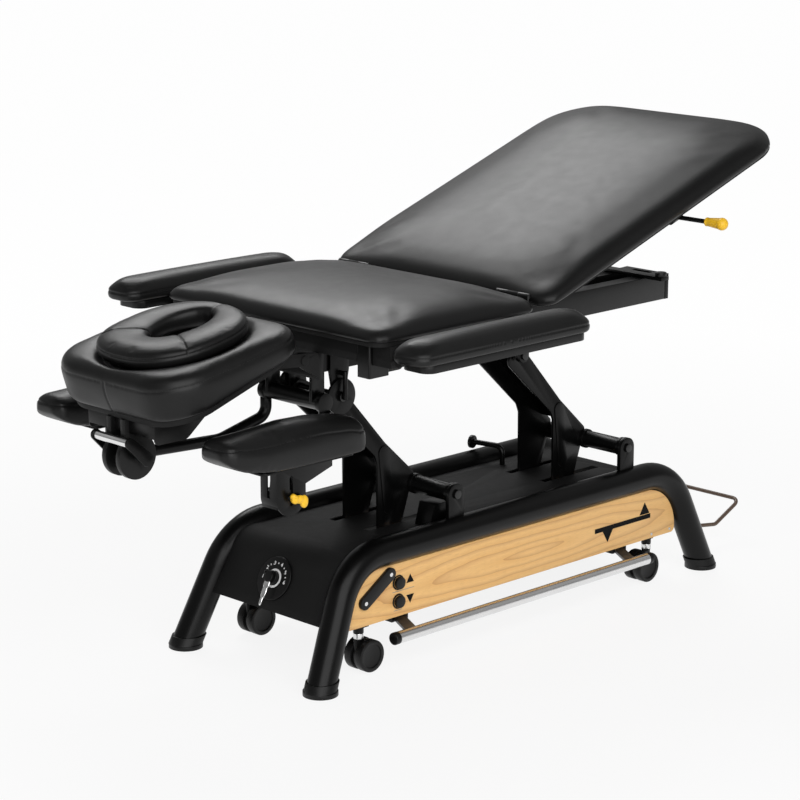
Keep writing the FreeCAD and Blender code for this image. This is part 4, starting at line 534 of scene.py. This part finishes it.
middlePad = {"low": (-0.563, -0.328, 0.7165), "high": (-0.094, 0.328, 0.753), "corner": 0.042, "rim": 0.028,
             "crown": 0.025, "reach": 0.27, "lip": 0.012, "lipAt": -0.094, "waist": 0.002,
             "pinch": 0.006, "pinchReach": 0.12, "skirt": 0.008, "held": 0.012,
             "voxel": 0.0065, "pressure": 4.0, "most": 0.0025, "calm": 24}
longPad = {"low": (-0.0855, -0.328, 0.7125), "high": (0.764, 0.328, 0.751), "corner": 0.042, "foot": 0.125,
           "rim": 0.029, "crown": 0.027, "reach": 0.30, "lip": 0.011, "lipAt": -0.0855, "waist": 0.002,
           "pinch": 0.008, "pinchReach": 0.13, "skirt": 0.012, "held": 0.016,
           "hinge": (-0.088, 0.745), "raise": -19.3,
           "voxel": 0.0075, "pressure": 4.0, "most": 0.0025, "calm": 24}


def makeMiddle(p=middlePad):
    piece = padBlock("middlePad", p)
    wrapBoard(piece, p)
    useModifier(piece, "REMESH", mode="VOXEL", voxel_size=p["voxel"])
    crown(piece, p)
    finishPad(piece, p, lambda s: s[:, 2] < p["low"][2] + p["held"])
    settle(piece, "top_frame", vinyl, "middle_cushion")


def makeLong(p=longPad):
    piece = padBlock("longPad", p)
    wrapBoard(piece, p)
    useModifier(piece, "REMESH", mode="VOXEL", voxel_size=p["voxel"])
    crown(piece, p)
    finishPad(piece, p, lambda s: s[:, 2] < p["low"][2] + p["held"])
    turnedAbout(piece, p["hinge"], p["raise"])
    settle(piece, "long_section", vinyl, "long_cushion")


makeMiddle()
makeLong()
print("middle and long pads made")

headPad = {"low": (-0.950, -0.196, 0.7245), "high": (-0.592, 0.196, 0.80), "corner": 0.076, "front": 0.098,
           "rim": 0.030, "frontTall": 0.092, "rearTall": 0.045, "crown": 0.005, "domePower": 2.6,
           "hinge": (-0.557, 0.658), "drop": -18.2,
           "holeX": -0.742, "holeL": 0.158, "holeW": 0.100,
           "moatX": -0.766, "moatL": 0.300, "moatW": 0.294, "moatDepth": 0.021,
           "seamFront": 0.066, "seamRear": 0.030, "held": 0.008,
           "voxel": 0.0055, "pressure": 3.0, "most": 0.005, "calm": 4}


def headTall(x, p=headPad):
    share = (x - p["low"][0]) / (p["high"][0] - p["low"][0])
    return p["frontTall"] + (p["rearTall"] - p["frontTall"]) * share


def loopAround(p, grow, count=760):  # points on a rounded outline round a pad, in plan
    middle = ((p["low"][0] + p["high"][0]) / 2, (p["low"][1] + p["high"][1]) / 2)
    half = ((p["high"][0] - p["low"][0]) / 2, (p["high"][1] - p["low"][1]) / 2)
    spots = []
    for step in range(count + 1):
        angle = 2 * math.pi * step / count
        c, s = math.cos(angle), math.sin(angle)
        spots.append((middle[0] + grow * half[0] * math.copysign(abs(c) ** 0.6, c),
                      middle[1] + grow * half[1] * math.copysign(abs(s) ** 0.6, s)))
    return middle, spots


def moatReach(spots, p=headPad):  # 1 at the edge of the sunk place that the face ring lies in
    return np.hypot((spots[:, 0] - p["moatX"]) * 2 / p["moatL"], spots[:, 1] * 2 / p["moatW"])


def makeHead(p=headPad):
    low, high = p["low"], p["high"]
    piece = padBlock("headPad", p)
    spots = points(piece.data)  # the pad is a wedge, thick at the front
    share = (spots[:, 2] - low[2]) / (high[2] - low[2])
    spots[:, 2] = low[2] + share * headTall(spots[:, 0])
    setPoints(piece.data, spots)
    deselect()
    bpy.ops.mesh.primitive_cylinder_add(vertices=48, radius=0.5, depth=0.4, location=(p["holeX"], 0, 0.77))
    bpy.context.object.scale = (p["holeL"], p["holeW"], 1)
    hole = newest("holeTool")
    useModifier(piece, "BOOLEAN", operation="DIFFERENCE", object=hole, solver="EXACT")
    bpy.data.objects.remove(hole)
    useModifier(piece, "REMESH", mode="VOXEL", voxel_size=p["voxel"])
    spots = points(piece.data)
    middleX, halfX = (low[0] + high[0]) / 2, (high[0] - low[0]) / 2
    domedX = 1 - np.abs((spots[:, 0] - middleX) / halfX) ** p["domePower"]
    domedY = 1 - np.abs(spots[:, 1] / high[1]) ** p["domePower"]
    rise = np.clip((spots[:, 2] - low[2]) / headTall(spots[:, 0]), 0, 1)
    spots[:, 2] += p["crown"] * np.clip(domedX * domedY, 0, 1) * rise
    dip = 1 / (1 + np.exp((moatReach(spots) - 0.985) / 0.03))
    spots[:, 2] -= p["moatDepth"] * dip * np.clip((rise - 0.4) / 0.4, 0, 1)
    setPoints(piece.data, spots)
    finishPad(piece, p, lambda s: (s[:, 2] < low[2] + p["held"]) | (moatReach(s) < 0.97))
    middle, outline = loopAround(p, 1.3)
    slope = (p["seamRear"] - p["seamFront"]) / (high[0] - low[0])
    starts = []
    for x, y in outline:
        along = min(max(x, low[0]), high[0]) - low[0]
        starts.append((x, y, low[2] + p["seamFront"] + slope * along))
    ways = [(middle[0] - x, middle[1] - y, 0) for x, y in outline]
    sewn = [piece, sew(piece, "headSeam", starts, ways, "head_section")]
    upright = [(low[0] - 0.1, 0.0, low[2] + 0.004 + 0.0015 * step) for step in range(40)]
    sewn.append(sew(piece, "headFrontSeam", upright, [(1, 0, 0)] * len(upright), "head_section"))
    for one in sewn:
        turnedAbout(one, p["hinge"], p["drop"])
    settle(piece, "head_section", vinyl, "head_cushion")


makeHead()

ringPad = {"centre": -0.766, "outerL": 0.284, "outerW": 0.276, "outerPower": 2.4,
           "inner": -0.742, "innerL": 0.146, "innerW": 0.090, "tall": 0.045, "fullness": 0.66,
           "slit": 0.004,
           "seams": [128, -118], "pucker": 0.0024, "held": 0.004,
           "voxel": 0.0036, "pressure": 3.5, "most": 0.005, "calm": 2}


def makeRing(p=ringPad, head=headPad):
    wedge = math.atan2(head["frontTall"] - head["rearTall"], head["high"][0] - head["low"][0])
    floor = head["low"][2] + headTall(p["centre"]) - 0.014
    deselect()
    bpy.ops.mesh.primitive_torus_add(major_segments=96, minor_segments=20, major_radius=1, minor_radius=0.3)
    piece = newest("faceRing")
    spots = points(piece.data)
    around = np.arctan2(spots[:, 1], spots[:, 0])
    radial = (np.hypot(spots[:, 0], spots[:, 1]) - 1) / 0.3
    c, s = np.cos(around), np.sin(around)
    power = p["outerPower"]
    outer = (np.abs(c) * 2 / p["outerL"]) ** power + (np.abs(s) * 2 / p["outerW"]) ** power
    outer = 1 / outer ** (1 / power)
    halfL, halfW, shift = p["innerL"] / 2, p["innerW"] / 2, p["inner"] - p["centre"]
    square = (c / halfL) ** 2 + (s / halfW) ** 2
    lean = c * shift / halfL ** 2
    inner = (lean + np.sqrt(lean ** 2 - square * ((shift / halfL) ** 2 - 1))) / square
    r = (outer + inner) / 2 + (outer - inner) / 2 * np.sign(radial) * np.abs(radial) ** p["fullness"]
    z = np.sign(spots[:, 2]) * np.abs(spots[:, 2] / 0.3) ** p["fullness"] * p["tall"] / 2
    for seam in p["seams"] + [0]:  # the cover gathers at each seam, most at the inner edge
        off = np.abs((around - math.radians(seam) + math.pi) % (2 * math.pi) - math.pi)
        gather = np.exp(-(off / 0.10) ** 2) * (0.6 - 0.4 * radial)
        z -= p["pucker"] * gather * (z > 0)
        r += p["pucker"] * np.cos(off * 44) * np.exp(-(off / 0.3) ** 2) * np.clip(-radial, 0, 1)
    setPoints(piece.data, np.stack([p["centre"] + r * c, r * s, floor + p["tall"] / 2 + z], 1))
    start = (p["centre"], -p["slit"] / 2, floor - 0.05)
    end = (p["centre"] + 0.2, p["slit"] / 2, floor + 0.1)
    tool = block("slitTool", start, end)
    useModifier(piece, "BOOLEAN", operation="DIFFERENCE", object=tool, solver="EXACT")
    bpy.data.objects.remove(tool)
    finishPad(piece, p, lambda s: s[:, 2] < floor + p["held"])
    sewn = [piece]
    for index, seam in enumerate(p["seams"]):
        c, s = math.cos(math.radians(seam)), math.sin(math.radians(seam))
        reaches = [0.035 + 0.0012 * step for step in range(94)]
        run = [(p["centre"] + c * reach, s * reach, floor + 0.12) for reach in reaches]
        sewn.append(sew(piece, "ringSeam" + str(index), run, [(0, 0, -1)] * len(run), "head_section"))
    edge = []
    for step in range(421):
        angle = math.radians(3 + 354 * step / 420)
        edge.append((p["centre"] + 0.2 * math.cos(angle), 0.2 * math.sin(angle), floor + p["tall"] * 0.62))
    inward = [(p["centre"] - x, -y, 0) for x, y, _ in edge]
    sewn.append(sew(piece, "ringEdgeSeam", edge, inward, "head_section"))
    tilt = (Matrix.Translation((p["centre"], 0, floor + 0.014)) @ Matrix.Rotation(wedge, 4, "Y")
            @ Matrix.Translation((-p["centre"], 0, -floor - 0.014)))
    for one in sewn:
        one.data.transform(tilt)
        turnedAbout(one, head["hinge"], head["drop"])
    settle(piece, "head_section", vinyl, "face_ring")


makeRing()
print("head pad and face ring made")

armPad = {"low": (-0.597, -0.477, 0.7045), "high": (-0.100, -0.381, 0.736), "corner": 0.036, "rim": 0.014,
          "crown": 0.014, "reach": 0.046, "waist": 0.0015, "pinch": 0.004, "pinchReach": 0.06,
          "seam": 0.017, "held": 0.006, "voxel": 0.0042, "pressure": 4.0, "most": 0.004, "calm": 2}


def makeArmPads(p=armPad):
    piece = padBlock("armPadNear", p)
    useModifier(piece, "REMESH", mode="VOXEL", voxel_size=p["voxel"])
    crown(piece, p)
    finishPad(piece, p, lambda s: s[:, 2] < p["low"][2] + p["held"])
    middle, outline = loopAround(p, 1.3, 600)
    starts = [(x, y, p["low"][2] + p["seam"]) for x, y in outline]
    spine = (p["high"][0] - p["low"][0]) / 2 - 0.04
    ways = [(min(max(x, middle[0] - spine), middle[0] + spine) - x, middle[1] - y, 0) for x, y in outline]
    seam = sew(piece, "armSeamNear", starts, ways, "armrest_near")
    settle(piece, "armrest_near", vinyl, "armrest_cushion_near")
    settle(mirrored(piece, "armPadFar"), "armrest_far", vinyl, "armrest_cushion_far")
    settle(mirrored(seam, "armSeamFar"), "armrest_far", thread)


makeArmPads()

lowPad = {"x": (-0.921, -0.557), "y": -0.252, "half": 0.050, "tall": 0.084, "base": 0.5105, "rise": 0.044,
          "seam": 0.66, "held": 0.006, "voxel": 0.0042, "pressure": 3.5, "most": 0.004, "calm": 2,
          "run": [0, 0.012, 0.05, 0.14, 0.3, 0.48, 0.68, 0.86, 0.95, 0.985, 1],
          "lift": [0.98, 0.86, 0.62, 0.3, 0.05, 0, 0, 0, 0, 0.04, 0.12],
          "share": [0.18, 0.36, 0.58, 0.76, 0.92, 1, 0.97, 0.86, 0.78, 0.68, 0.48],
          "wide": [0.5, 0.74, 0.92, 1, 1, 1, 1, 0.98, 0.93, 0.84, 0.7]}


def makeLowPads(p=lowPad):
    piece = block("lowPadNear", (0, -1, 0), (1, 1, 1))
    take(piece)
    bpy.ops.object.mode_set(mode="EDIT")
    bpy.ops.mesh.select_all(action="SELECT")
    bpy.ops.mesh.subdivide(number_cuts=30)
    back()
    spots = points(piece.data)
    u, v, w = spots[:, 0], spots[:, 1], spots[:, 2]
    wide = np.interp(u, p["run"], p["wide"])
    tall = np.interp(u, p["run"], p["share"]) * p["tall"]
    lift = np.interp(u, p["run"], p["lift"]) * p["rise"]
    domed = (1 - np.abs(v) ** 3.2) * 0.26 + 0.74
    side = 1 - 0.10 * np.clip((w - 0.6) / 0.4, 0, 1) ** 2
    long = p["x"][1] - p["x"][0]
    x, y = p["x"][0] + long * u, p["y"] + p["half"] * wide * v * side
    setPoints(piece.data, np.stack([x, y, p["base"] + lift + tall * w * domed], 1))
    finishPad(piece, p, lambda s: s[:, 2] < p["base"] + p["held"])
    starts, ways = [], []
    for step in range(601):
        angle = 2 * math.pi * step / 600
        c, s = math.cos(angle), math.sin(angle)
        x = p["x"][0] + long * (0.5 + 0.5 * math.copysign(abs(c) ** 0.5, c)) + 0.03 * c
        here = min(max((x - p["x"][0]) / long, 0.03), 0.97)
        bottom = p["base"] + np.interp(here, p["run"], p["lift"]) * p["rise"]
        z = bottom + p["seam"] * np.interp(here, p["run"], p["share"]) * p["tall"]
        y = p["y"] + 0.09 * math.copysign(abs(s) ** 0.5, s)
        starts.append((x, y, z))
        inner = min(max(x, p["x"][0] + 0.05), p["x"][1] - 0.05)
        ways.append((inner - x, p["y"] - y, 0))
    seam = sew(piece, "lowSeamNear", starts, ways, "lower_armrest_near")
    settle(piece, "lower_armrest_near", vinyl, "lower_armrest_cushion_near")
    farPiece = mirrored(piece, "lowPadFar")
    settle(farPiece, "lower_armrest_far", vinyl, "lower_armrest_cushion_far")
    settle(mirrored(seam, "lowSeamFar"), "lower_armrest_far", thread)


makeLowPads()
print("armrest pads made")


def bodyOf(name):
    return nodes[name]["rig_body"]


def joined(name, pieces):
    deselect()
    for piece in pieces:
        piece.select_set(True)
    bpy.context.view_layer.objects.active = pieces[0]
    bpy.ops.object.join()
    pieces[0].name = name
    pieces[0].data.name = name
    return pieces[0]


def ball(spot, size):
    deselect()
    bpy.ops.mesh.primitive_uv_sphere_add(segments=32, ring_count=20, radius=1, location=spot)
    bpy.context.object.scale = size
    return newest("ballPart")


def rod(start, end, r0, r1=None, sides=36):
    start, end = Vector(start), Vector(end)
    deselect()
    way = end - start
    turn = way.to_track_quat("Z", "Y").to_euler()
    bpy.ops.mesh.primitive_cone_add(vertices=sides, radius1=r0, radius2=r1 or r0, depth=way.length,
                                    location=(start + end) / 2, rotation=turn)
    return newest("rodPart")


def moulded(name, pieces, voxel, times):  # parts run together as one soft moulding
    piece = joined(name, pieces)
    useModifier(piece, "REMESH", mode="VOXEL", voxel_size=voxel)
    useModifier(piece, "SMOOTH", factor=0.5, iterations=times)
    smoothShade(piece)
    return piece


def easedRod(name, start, end, r, ease):
    piece = rod(start, end, r)
    piece.name = name
    useModifier(piece, "BEVEL", width=ease, segments=3, limit_method="ANGLE", angle_limit=math.radians(50))
    take(piece)
    bpy.ops.object.shade_smooth_by_angle(angle=math.radians(40))
    return piece


yellowKnob = {"hub": (-0.728, -0.2700, 0.4395), "ear": (-0.7335, -0.2705, 0.4455),
              "tip": (-0.7055, -0.2700, 0.4315), "neck": (-0.716, -0.2700, 0.4375),
              "collar": -0.2625, "stemOut": -0.266, "stemIn": -0.2378, "stem": 0.0038}


def makeYellowKnobs(p=yellowKnob):
    x, y, z = p["hub"]
    parts = [ball(p["hub"], (0.0095, 0.0066, 0.0090)), ball(p["ear"], (0.0064, 0.0062, 0.0064)),
             ball(p["neck"], (0.011, 0.0062, 0.0085)), ball(p["tip"], (0.0095, 0.0070, 0.0130)),
             rod((x, p["collar"], z), (x, y, z), 0.007, 0.0085)]
    piece = moulded("yellowKnobNear", parts, 0.0008, 8)
    stem = easedRod("yellowStemNear", (x, p["stemIn"], z), (x, p["stemOut"], z), p["stem"], 0.0005)
    settle(piece, bodyOf("yellow_knob_near"), yellow, "yellow_knob_near")
    settle(stem, bodyOf("yellow_knob_near"), steel)
    farPiece = mirrored(piece, "yellowKnobFar")
    settle(farPiece, bodyOf("yellow_knob_far"), yellow, "yellow_knob_far")
    settle(mirrored(stem, "yellowStemFar"), bodyOf("yellow_knob_far"), steel)


liftGrip = {"x": 0.40477, "z": 0.84764, "start": -0.3405, "wide": -0.376, "end": -0.3962,
            "r": 0.0086, "bulb": 0.0138}


def makeLiftGrip(p=liftGrip):
    x, z = p["x"], p["z"]
    parts = [rod((x, p["start"], z), (x, p["wide"], z), p["r"], p["bulb"] * 0.9),
             ball((x, p["end"] + p["bulb"], z), (p["bulb"], p["bulb"], p["bulb"])),
             rod((x, p["start"] - 0.0005, z), (x, p["start"] - 0.004, z), p["r"] + 0.0012)]
    piece = moulded("liftGrip", parts, 0.0009, 6)
    settle(piece, bodyOf("lift_lever_grip"), yellow, "lift_lever_grip")


makeYellowKnobs()
makeLiftGrip()
print("yellow knobs and grip made")

dial = {"centre": (-0.5375, 0, 0.179), "slant": 26.565, "plateR": 0.046, "face": 0.006,
        "hubR": 0.0145, "hubFace": 0.016, "ringIn": 0.0155, "ringOut": 0.0200, "ringTall": 0.0010,
        "numbers": 6, "sweep": 190, "numberR": 0.0320, "numberTall": 0.0110,
        "tickR": 0.0305, "tickLong": 0.0030, "tickHalf": 0.0010, "tickProud": 0.0006,
        "leverLift": 0.0203, "capR": 0.0120, "capTall": 0.0245}


def onDial(p=dial):  # from a plan of the dial, seen from the front, to its place on the slanted cover
    s = math.radians(p["slant"])
    right, up = Vector((0, -1, 0)), Vector((math.sin(s), 0, math.cos(s)))
    turn = Matrix((right, up, right.cross(up))).transposed().to_4x4()
    return Matrix.Translation(p["centre"]) @ turn


def printed(piece, place, body, look):
    piece.data.transform(place)
    settle(piece, body, look)


def makeDial(p=dial):
    place = onDial()
    plate = joined("dialFace", [easedRod("dialPlate", (0, 0, 0), (0, 0, p["face"]), p["plateR"], 0.0012),
                                easedRod("dialHub", (0, 0, p["face"] - 0.001), (0, 0, p["hubFace"]),
                                         p["hubR"], 0.0014)])
    plate.data.transform(place)
    settle(plate, "base", plastic, "dial_plate")
    deselect()
    bpy.ops.mesh.primitive_cylinder_add(vertices=64, radius=p["ringOut"], depth=p["ringTall"],
                                        location=(0, 0, p["face"]))
    ring = newest("dialRing")
    pick(ring, "FACE", lambda c, n: abs(n.z) > 0.9)
    bpy.ops.mesh.inset(thickness=p["ringOut"] - p["ringIn"])
    bpy.ops.mesh.bridge_edge_loops()
    back()
    printed(ring, place, "base", inkWhite)
    marks = []
    count = p["numbers"] * 2 - 1
    for step in range(count):
        angle = math.radians(p["sweep"] / 2 - p["sweep"] * step / (count - 1))
        x, y = math.sin(-angle), math.cos(angle)
        if step % 2 == 0:
            deselect()
            bpy.ops.object.text_add(location=(x * p["numberR"], y * p["numberR"], p["face"]))
            words = bpy.context.object
            words.data.body = str(step // 2 + 1)
            words.data.size = p["numberTall"]
            words.data.align_x = "CENTER"
            words.data.align_y = "CENTER"
            words.data.extrude = p["tickProud"]
            words.data.offset = 0.0002
            words.data.resolution_u = 4
            bpy.ops.object.convert(target="MESH")
            bpy.ops.object.transform_apply(location=True, rotation=True, scale=True)
            marks.append(newest("dialNumber" + str(step // 2 + 1)))
            continue
        low = (-p["tickHalf"], 0, p["face"] - 0.0002)
        high = (p["tickHalf"], p["tickLong"], p["face"] + p["tickProud"])
        mark = block("tick", low, high)
        mark.data.transform(Matrix.Rotation(angle, 4, "Z") @ Matrix.Translation((0, p["tickR"], 0)))
        marks.append(mark)
    printed(joined("dialMarks", marks), place, "base", inkWhite)
    lift = p["leverLift"]
    parts = [ball((0, -0.016, lift), (0.0088, 0.013, 0.0034)), ball((0, 0, lift), (0.0105, 0.0105, 0.0036)),
             ball((0, -0.032, lift), (0.0072, 0.017, 0.0032)),
             ball((0, -0.050, lift), (0.0042, 0.0125, 0.0028))]
    lever = moulded("dialLeverDrop", parts, 0.0007, 6)
    lever.data.transform(place)
    settle(lever, bodyOf("dial_lever"), chrome, "dial_lever")
    root = easedRod("capRoot", (0, 0, p["hubFace"] + 0.0005), (0, 0, p["capTall"]), p["capR"], 0.0018)
    peg = easedRod("capPeg", (-0.006, 0.004, p["capTall"] - 0.003), (-0.013, 0.007, p["capTall"] - 0.0015),
                   0.0042, 0.001)
    cap = joined("dialLeverCap", [root, peg])
    cap.data.transform(place)
    settle(cap, bodyOf("dial_lever"), plastic)


makeDial()
print("dial made")

panelMarks = {"y": -0.185, "proud": 0.0003,
              "buttonArrows": [(-0.334, 0.178, 1), (-0.334, 0.134, -1)], "arrow": (0.0215, 0.0180),
              "lines": [(-0.385, -0.323, 0.1565), (-0.381, -0.357, 0.1165)], "lineTall": 0.0009,
              "bar": (0.240, 0.428, 0.1520, 0.1625),
              "barArrows": [(0.408, 0.1775, 1), (0.283, 0.1385, -1)], "barArrow": (0.034, 0.027),
              "screws": [(0.434, 0.112), (0.497, 0.112)], "screwR": 0.0034}


def flatMark(name, corners, p=panelMarks):  # a print on the near panel from its corners in X and Z
    deselect()
    bpy.ops.mesh.primitive_circle_add(vertices=len(corners), radius=1, fill_type="NGON")
    piece = newest(name)
    for v, (x, z) in zip(piece.data.vertices, corners):
        v.co = (x, p["y"] - p["proud"], z)
    useModifier(piece, "SOLIDIFY", thickness=p["proud"] * 1.6, offset=0)
    take(piece)
    bpy.ops.object.mode_set(mode="EDIT")
    bpy.ops.mesh.select_all(action="SELECT")
    bpy.ops.mesh.normals_make_consistent(inside=False)
    back()
    return piece


def triangle(x, z, up, size):
    wide, tall = size
    return [(x - wide / 2, z - up * tall / 2), (x + wide / 2, z - up * tall / 2), (x, z + up * tall / 2)]


def arrows(name, places, size):
    return [flatMark(name + str(i), triangle(x, z, up, size)) for i, (x, z, up) in enumerate(places)]


def makePanelMarks(p=panelMarks):
    black = arrows("arrow", p["buttonArrows"], p["arrow"])
    lines = [flatMark("line" + str(i), [(a, z), (b, z), (b, z + p["lineTall"]), (a, z + p["lineTall"])])
             for i, (a, b, z) in enumerate(p["lines"])]
    settle(joined("buttonArrows", black), "base", ink)
    settle(joined("buttonLines", lines), "base", inkGrey)
    x0, x1, z0, z1 = p["bar"]
    bar = [flatMark("pressBar", [(x0, z0), (x1, z0), (x1, z1), (x0, z1)])]
    marks = joined("pressMarksNear", bar + arrows("pressArrow", p["barArrows"], p["barArrow"]))
    settle(marks, "base", ink)
    settle(mirrored(marks, "pressMarksFar"), "base", ink)
    heads = []
    for x, z in p["screws"]:
        start, end = (x, p["y"] + 0.001, z), (x, p["y"] - 0.0012, z)
        heads.append(easedRod("screwHead", start, end, p["screwR"], 0.0008))
    screws = joined("panelScrewsNear", heads)
    settle(screws, "base", zinc)
    settle(mirrored(screws, "panelScrewsFar"), "base", zinc)


makePanelMarks()

footBar = {"x": 0.404, "y": -0.208, "z": 0.068, "r": 0.0131, "long": 0.013, "proud": 0.0012}


def makeBarCaps(p=footBar):
    caps = []
    for side in (-1, 1):
        inner, outer = side * (p["x"] - p["long"]), side * (p["x"] + p["proud"])
        caps.append(easedRod("barCap", (inner, p["y"], p["z"]), (outer, p["y"], p["z"]), p["r"], 0.0022))
    near = joined("barCapsNear", caps)
    settle(near, bodyOf("foot_bar_near"), rubber)
    settle(mirrored(near, "barCapsFar"), bodyOf("foot_bar_far"), rubber)


castorStem = {"frontX": -0.462, "rearX": 0.440, "y": 0.165, "low": 0.0735, "high": 0.0852, "r": 0.0104}


def makeCastorStems(p=castorStem):
    for end, x in (("front", p["frontX"]), ("rear", p["rearX"])):
        sleeve = easedRod(end + "StemNear", (x, -p["y"], p["low"]), (x, -p["y"], p["high"]), p["r"], 0.0008)
        settle(sleeve, bodyOf("castor_" + end + "_near"), steel)
        settle(mirrored(sleeve, end + "StemFar"), bodyOf("castor_" + end + "_far"), steel)


makeBarCaps()
makeCastorStems()
print("panel marks, caps and stems made")

softEdges = {"base_cover": 0.0006, "wood_panels": 0.0018, "panel_fittings": 0.0009,
             "base_brackets": 0.001, "base_beams": 0.001, "front_lift_arm": 0.0009,
             "rear_lift_arm": 0.0009, "top_rails": 0.0022, "top_bars": 0.001, "hangers": 0.001,
             "top_stops": 0.0014, "middle_board": 0.0012, "lower_armrest_carriers": 0.001,
             "armrest_board_near": 0.0015, "armrest_board_far": 0.0015,
             "lower_armrest_bracket_near": 0.0009, "lower_armrest_bracket_far": 0.0009,
             "long_frame": 0.0014, "head_frame": 0.0014, "head_handle": 0.001, "foot_caps": 0.0015,
             "armrest_lock_knob_near": 0.0016, "armrest_lock_knob_far": 0.0016, "head_fairing": 0.0008,
             "head_grip": 0.0015, "button_up": 0.0012, "button_down": 0.0012,
             "wheels_front_near": 0.003, "wheels_front_far": 0.003, "wheels_rear_near": 0.003,
             "wheels_rear_far": 0.003, "castor_front_near": 0.001, "castor_front_far": 0.001,
             "castor_rear_near": 0.001, "castor_rear_far": 0.001, "base_fixings": 0.0006,
             "top_pins": 0.0006, "tie_bar": 0.0008}


def soften(name, width):  # a copy of a hard part with its sharp edges broken, as pressed and cut plate has
    mesh = nodes[name].data.copy()
    piece = bpy.data.objects.new(name + "Eased", mesh)
    bpy.context.scene.collection.objects.link(piece)
    take(piece)
    bpy.ops.object.mode_set(mode="EDIT")
    bpy.ops.mesh.select_all(action="SELECT")
    bpy.ops.mesh.remove_doubles(threshold=0.00001)
    bpy.ops.mesh.dissolve_limited(angle_limit=math.radians(0.6))
    back()
    bpy.ops.mesh.customdata_custom_splitnormals_clear()
    useModifier(piece, "BEVEL", width=width, segments=2, limit_method="ANGLE", angle_limit=math.radians(38),
                use_clamp_overlap=True)
    bpy.ops.object.shade_smooth_by_angle(angle=math.radians(40))
    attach(piece, bodyOf(name))
    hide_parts(name)


for name, width in softEdges.items():
    soften(name, width)

darkBolts = {"base_fixings": 0.25, "top_pins": 0.0}  # height above which a node's pin ends are blackened
for name, above in darkBolts.items():
    mesh = bpy.data.objects[name + "Eased"].data
    mesh.materials.append(bolt)
    for f in mesh.polygons:
        if f.center.z > above:
            f.material_index = 1
for name in ("foot_bar_near", "foot_bar_far"):  # the struts are darker than the bar they carry
    mesh = nodes[name].data
    mesh.materials.append(gunmetal)
    for f in mesh.polygons:
        away = math.hypot(abs(f.center.y) - abs(footBar["y"]), f.center.z - footBar["z"])
        if away > footBar["r"] + 0.0025:
            f.material_index = 1
print("edges eased on", len(softEdges), "nodes")

studio = {"floorSize": 60, "glowNear": 0.87, "glowFar": 0.985, "skyLow": 0.36, "skyMid": 0.52,
          "skyHigh": 0.12, "front": 0.75}


def makeStudio(p=studio):
    deselect()
    bpy.ops.mesh.primitive_plane_add(size=p["floorSize"], location=(0, 0, 0))
    ground = newest("studioFloor")
    board = Board("floorPaper")
    board.finish(colour=grey(0.9), rough=0.9, specular=0.1)
    away = board.add("ShaderNodeVectorMath", {"operation": "LENGTH"}, {0: board.place()}, "Value")
    share = board.ramp(away * 0.25, [(0.28, grey(p["glowNear"])), (0.75, grey(p["glowFar"]))])
    glow = board.add("ShaderNodeEmission", {}, {"Color": grey(1), "Strength": 1.0}, "Emission")
    seen = board.rays("Is Camera Ray", "Is Glossy Ray", "Is Transmission Ray")
    lit = Value(board, board.shader.outputs[0])
    blend = board.add("ShaderNodeMixShader", {}, {0: seen * share, 1: lit, 2: glow})
    board.tree.links.new(blend.socket, board.out.inputs[0])
    dress(ground, board.material)
    world = bpy.data.worlds.new("studioWorld")
    bpy.context.scene.world = world
    sky = Board("sky", world)
    way = sky.add("ShaderNodeTexCoord", out="Generated")
    height = sky.add("ShaderNodeSeparateXYZ", {}, {0: way}, "Z")
    pair = {0: way, 1: (0.5, 0.5, 0)}
    behind = sky.add("ShaderNodeVectorMath", {"operation": "DOT_PRODUCT"}, pair, "Value")
    tone = sky.ramp(height, [(0.0, grey(p["skyLow"])), (0.25, grey(p["skyLow"])), (0.6, grey(p["skyMid"])),
                             (0.92, grey(p["skyHigh"]))])
    turned = sky.ramp(behind + 0.5, [(0.2, grey(p["front"])), (0.8, grey(1))])
    white = sky.rays("Is Camera Ray", "Is Transmission Ray")
    level = white + (1 - white) * (tone * turned)
    sky.feed(sky.shader.inputs[1], level)


def softLamp(name, spot, aim, size, power):
    data = bpy.data.lights.new(name, "AREA")
    data.shape = "RECTANGLE"
    data.size = size
    data.size_y = size
    data.energy = power
    lamp = bpy.data.objects.new(name, data)
    bpy.context.scene.collection.objects.link(lamp)
    way = Vector(aim) - Vector(spot)
    lamp.matrix_world = Matrix.Translation(spot) @ way.to_track_quat("-Z", "Y").to_matrix().to_4x4()


makeStudio()
softLamp("keySoft", (-2.6, -4.2, 2.8), (0, 0, 0.5), 5.5, 265)
softLamp("backSoft", (1.7, 2.9, 4.1), (0.2, 0, 0.8), 2.6, 108)
print("studio set")
